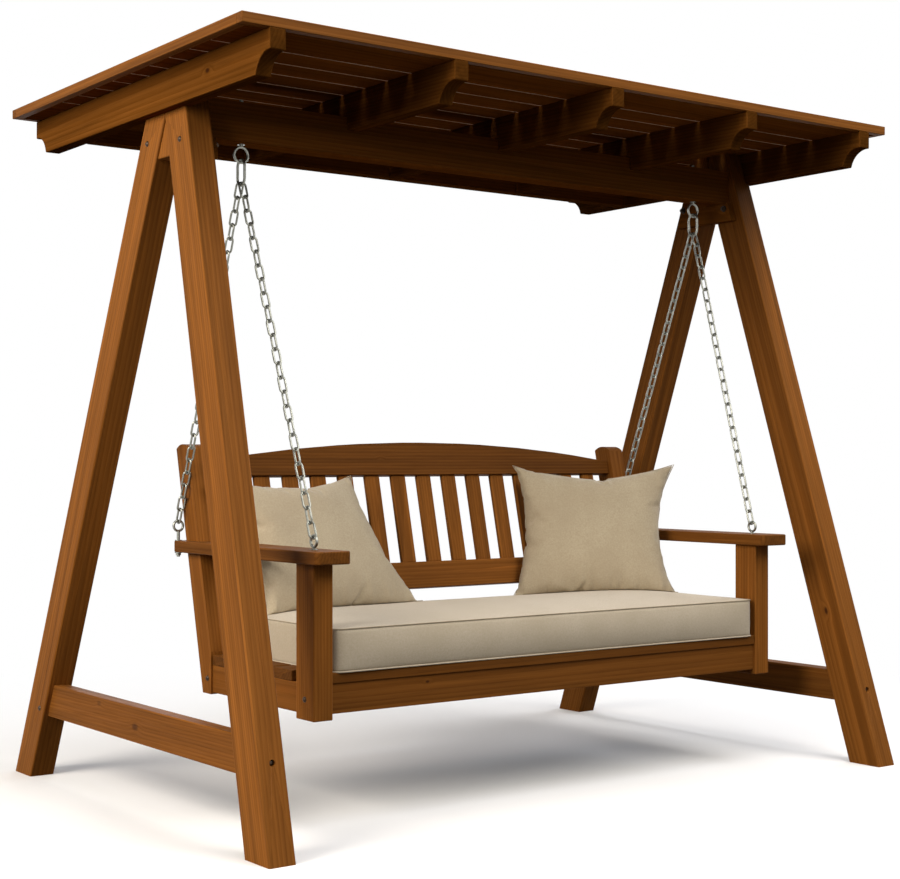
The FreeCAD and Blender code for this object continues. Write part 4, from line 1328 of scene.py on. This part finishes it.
@dataclass
class Studio:
    """A pale floor, soft daylight from all round, a broad lamp from the left, and the camera."""

    floor_tone: str = "#F6F5F3"
    ground_bounce: str = "#33312D"
    sky: str = "#F4F6FA"
    sky_strength: float = 0.26
    floor_reach: float = 40.0
    camera_reach: float = 200.0
    clear_from: float = 0.9
    clear_to: float = 2.8
    focal_pixels: float = 1674.3
    image_width: float = 900.0
    image_height: float = 879.0
    horizon_row: float = 459.9
    camera_place: tuple[float, float, float] = (-2.927, -3.922, 0.900)
    camera_heading: float = math.radians(36.42)
    sensor: float = 36.0
    aim_height: float = 0.9
    softboxes: tuple[Softbox, ...] = (
        Softbox("side_softbox", (-5.2, -0.8, 3.0), 3.0, 330.0, "#FFF6EA"),
        Softbox("front_softbox", (0.9, -4.4, 4.6), 3.0, 210.0, "#FFFAF2"),
        Softbox("top_softbox", (0.2, -1.3, 5.6), 4.0, 175.0, "#F6F8FF"),
        Softbox("rear_softbox", (2.6, 5.2, 2.8), 3.0, 90.0, "#F6F8FF"),
        Softbox("right_softbox", (5.4, 0.4, 2.8), 3.0, 120.0, "#F6F8FF"),
    )

    def build(self) -> None:
        """Set up the floor, the light and the camera."""
        self._floor()
        self._sky()
        for softbox in self.softboxes:
            self._lamp(softbox)
        self._camera()
        LOG.info("studio ready")

    @staticmethod
    def _seen_white(tree: bpy.types.NodeTree) -> bpy.types.NodeSocket:
        """Tell the rays that see the white background: direct, mirrored and let through.

        Args:
            tree: The node tree of the floor or the world.

        Returns:
            One for those rays, and none for the rays that carry light.
        """
        paths = add_node(tree, "LightPath").outputs
        seen = paths["Is Camera Ray"]
        for path in ("Is Glossy Ray", "Is Transmission Ray"):
            seen = add_node(tree, "Math", {0: seen, 1: paths[path]}, operation="MAXIMUM").outputs[0]
        return seen

    def _floor(self) -> None:
        """Lay a pale floor that keeps the object's shadow and fades to white far from it."""
        reach = self.floor_reach
        corners = [(-reach, -reach, 0), (reach, -reach, 0), (reach, reach, 0), (-reach, reach, 0)]
        floor = new_piece("studio_floor", corners, [(0, 1, 2, 3)])
        material, tree = blank_material("pale_floor")
        seen = self._seen_white(tree)
        tone = add_node(
            tree,
            "Mix",
            {"Factor": seen, MIX_A: linear(self.ground_bounce), MIX_B: linear(self.floor_tone)},
            data_type="RGBA",
        ).outputs[MIX_RESULT]
        place = add_node(tree, "TexCoord").outputs["Object"]
        distance = add_node(tree, "VectorMath", {0: place}, operation="LENGTH").outputs["Value"]
        far = add_node(
            tree,
            "MapRange",
            {"Value": distance, "From Min": self.clear_from, "From Max": self.clear_to},
            interpolation_type="SMOOTHSTEP",
        ).outputs[0]
        far_seen = add_node(tree, "Math", {0: far, 1: seen}, operation="MULTIPLY").outputs[0]
        matt = add_node(tree, "BsdfDiffuse", {"Color": tone}).outputs[0]
        white = add_node(tree, "Emission", {"Strength": 1.0}).outputs[0]
        surface = add_node(tree, "MixShader", {0: far_seen, 1: matt, 2: white}).outputs[0]
        add_node(tree, "OutputMaterial", {"Surface": surface})
        dress(floor, material)

    def _sky(self) -> None:
        """Light the scene evenly from all round, and show white behind it."""
        world = bpy.data.worlds.new("soft_daylight")
        bpy.context.scene.world = world
        world.use_nodes = True
        tree = world.node_tree
        tree.nodes.clear()
        seen = self._seen_white(tree)
        light = add_node(
            tree, "Background", {"Color": linear(self.sky), "Strength": self.sky_strength}
        ).outputs[0]
        white = add_node(tree, "Background", {"Color": (1, 1, 1, 1), "Strength": 1.0}).outputs[0]
        surface = add_node(tree, "MixShader", {0: seen, 1: light, 2: white}).outputs[0]
        add_node(tree, "OutputWorld", {"Surface": surface})

    def _lamp(self, softbox: Softbox) -> None:
        """Hang one softbox, aimed at the bench."""
        data = bpy.data.lights.new(softbox.name, "AREA")
        data.size = softbox.side
        data.energy = softbox.power
        data.color = linear(softbox.tint)[:3]
        lamp = bpy.data.objects.new(softbox.name, data)
        bpy.context.scene.collection.objects.link(lamp)
        aim = Vector((0, 0, self.aim_height)) - Vector(softbox.place)
        lamp.location = softbox.place
        lamp.rotation_euler = aim.to_track_quat("-Z", "Y").to_euler()

    def _camera(self) -> None:
        """Stand the camera, level, where the photograph was taken from, with its horizon."""
        data = bpy.data.cameras.new("camera")
        data.sensor_width = self.sensor
        data.lens = self.focal_pixels / self.image_width * self.sensor
        data.shift_y = (self.horizon_row - self.image_height / 2) / self.image_width
        data.clip_end = self.camera_reach
        camera = bpy.data.objects.new("camera", data)
        camera.location = self.camera_place
        camera.rotation_euler = (math.radians(90), 0, -self.camera_heading)
        bpy.context.scene.collection.objects.link(camera)
        bpy.context.scene.camera = camera


def main() -> None:
    """Dress the whole swing."""
    logging.basicConfig(level=logging.INFO, format="%(name)s: %(message)s")
    for item in list(bpy.data.objects):
        bpy.data.objects.remove(item)
    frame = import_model()
    bpy.context.scene.view_settings.view_transform = "Standard"
    timber = TimberWork(frame, StainedPine())
    bolts = BlackenedSteel().material()
    zinc = GalvanisedSteel().material()
    seat_cloth = CottonCanvas("seat_canvas", thread="#BFB29D", worn_thread="#B0A28A").material()
    scatter_cloth = CottonCanvas("scatter_canvas").material()
    # The top seam's canvas is made darker as painted shade, for the crease that the seam lies in.
    seam_shade_cloth = CottonCanvas("seam_shade_canvas", thread="#A99A80", worn_thread="#8F8066").material()
    for group in (LeaningFrames(), SlattedRoof(), Bench()):
        group.build(timber, frame, bolts)
    Hangers().build(frame, zinc)
    seat = BoxCushion().build(seat_cloth, seam_shade_cloth)
    ScatterCushion(
        "right",
        turn=math.radians(-31.4),
        lean=math.radians(14),
        slump=12 * MM,
        shift=-9 * MM,
        width=512 * MM,
        cut_in=(14 * MM, 30 * MM),
    ).build(scatter_cloth, seat)
    ScatterCushion(
        "left",
        turn=math.radians(3),
        lean=math.radians(29),
        slump=-75 * MM,
        shift=-8 * MM,
        taper=0.1,
        width=500 * MM,
        sag=14 * MM,
    ).build(scatter_cloth, seat)
    Studio().build()


if __name__ == "__main__":
    main()
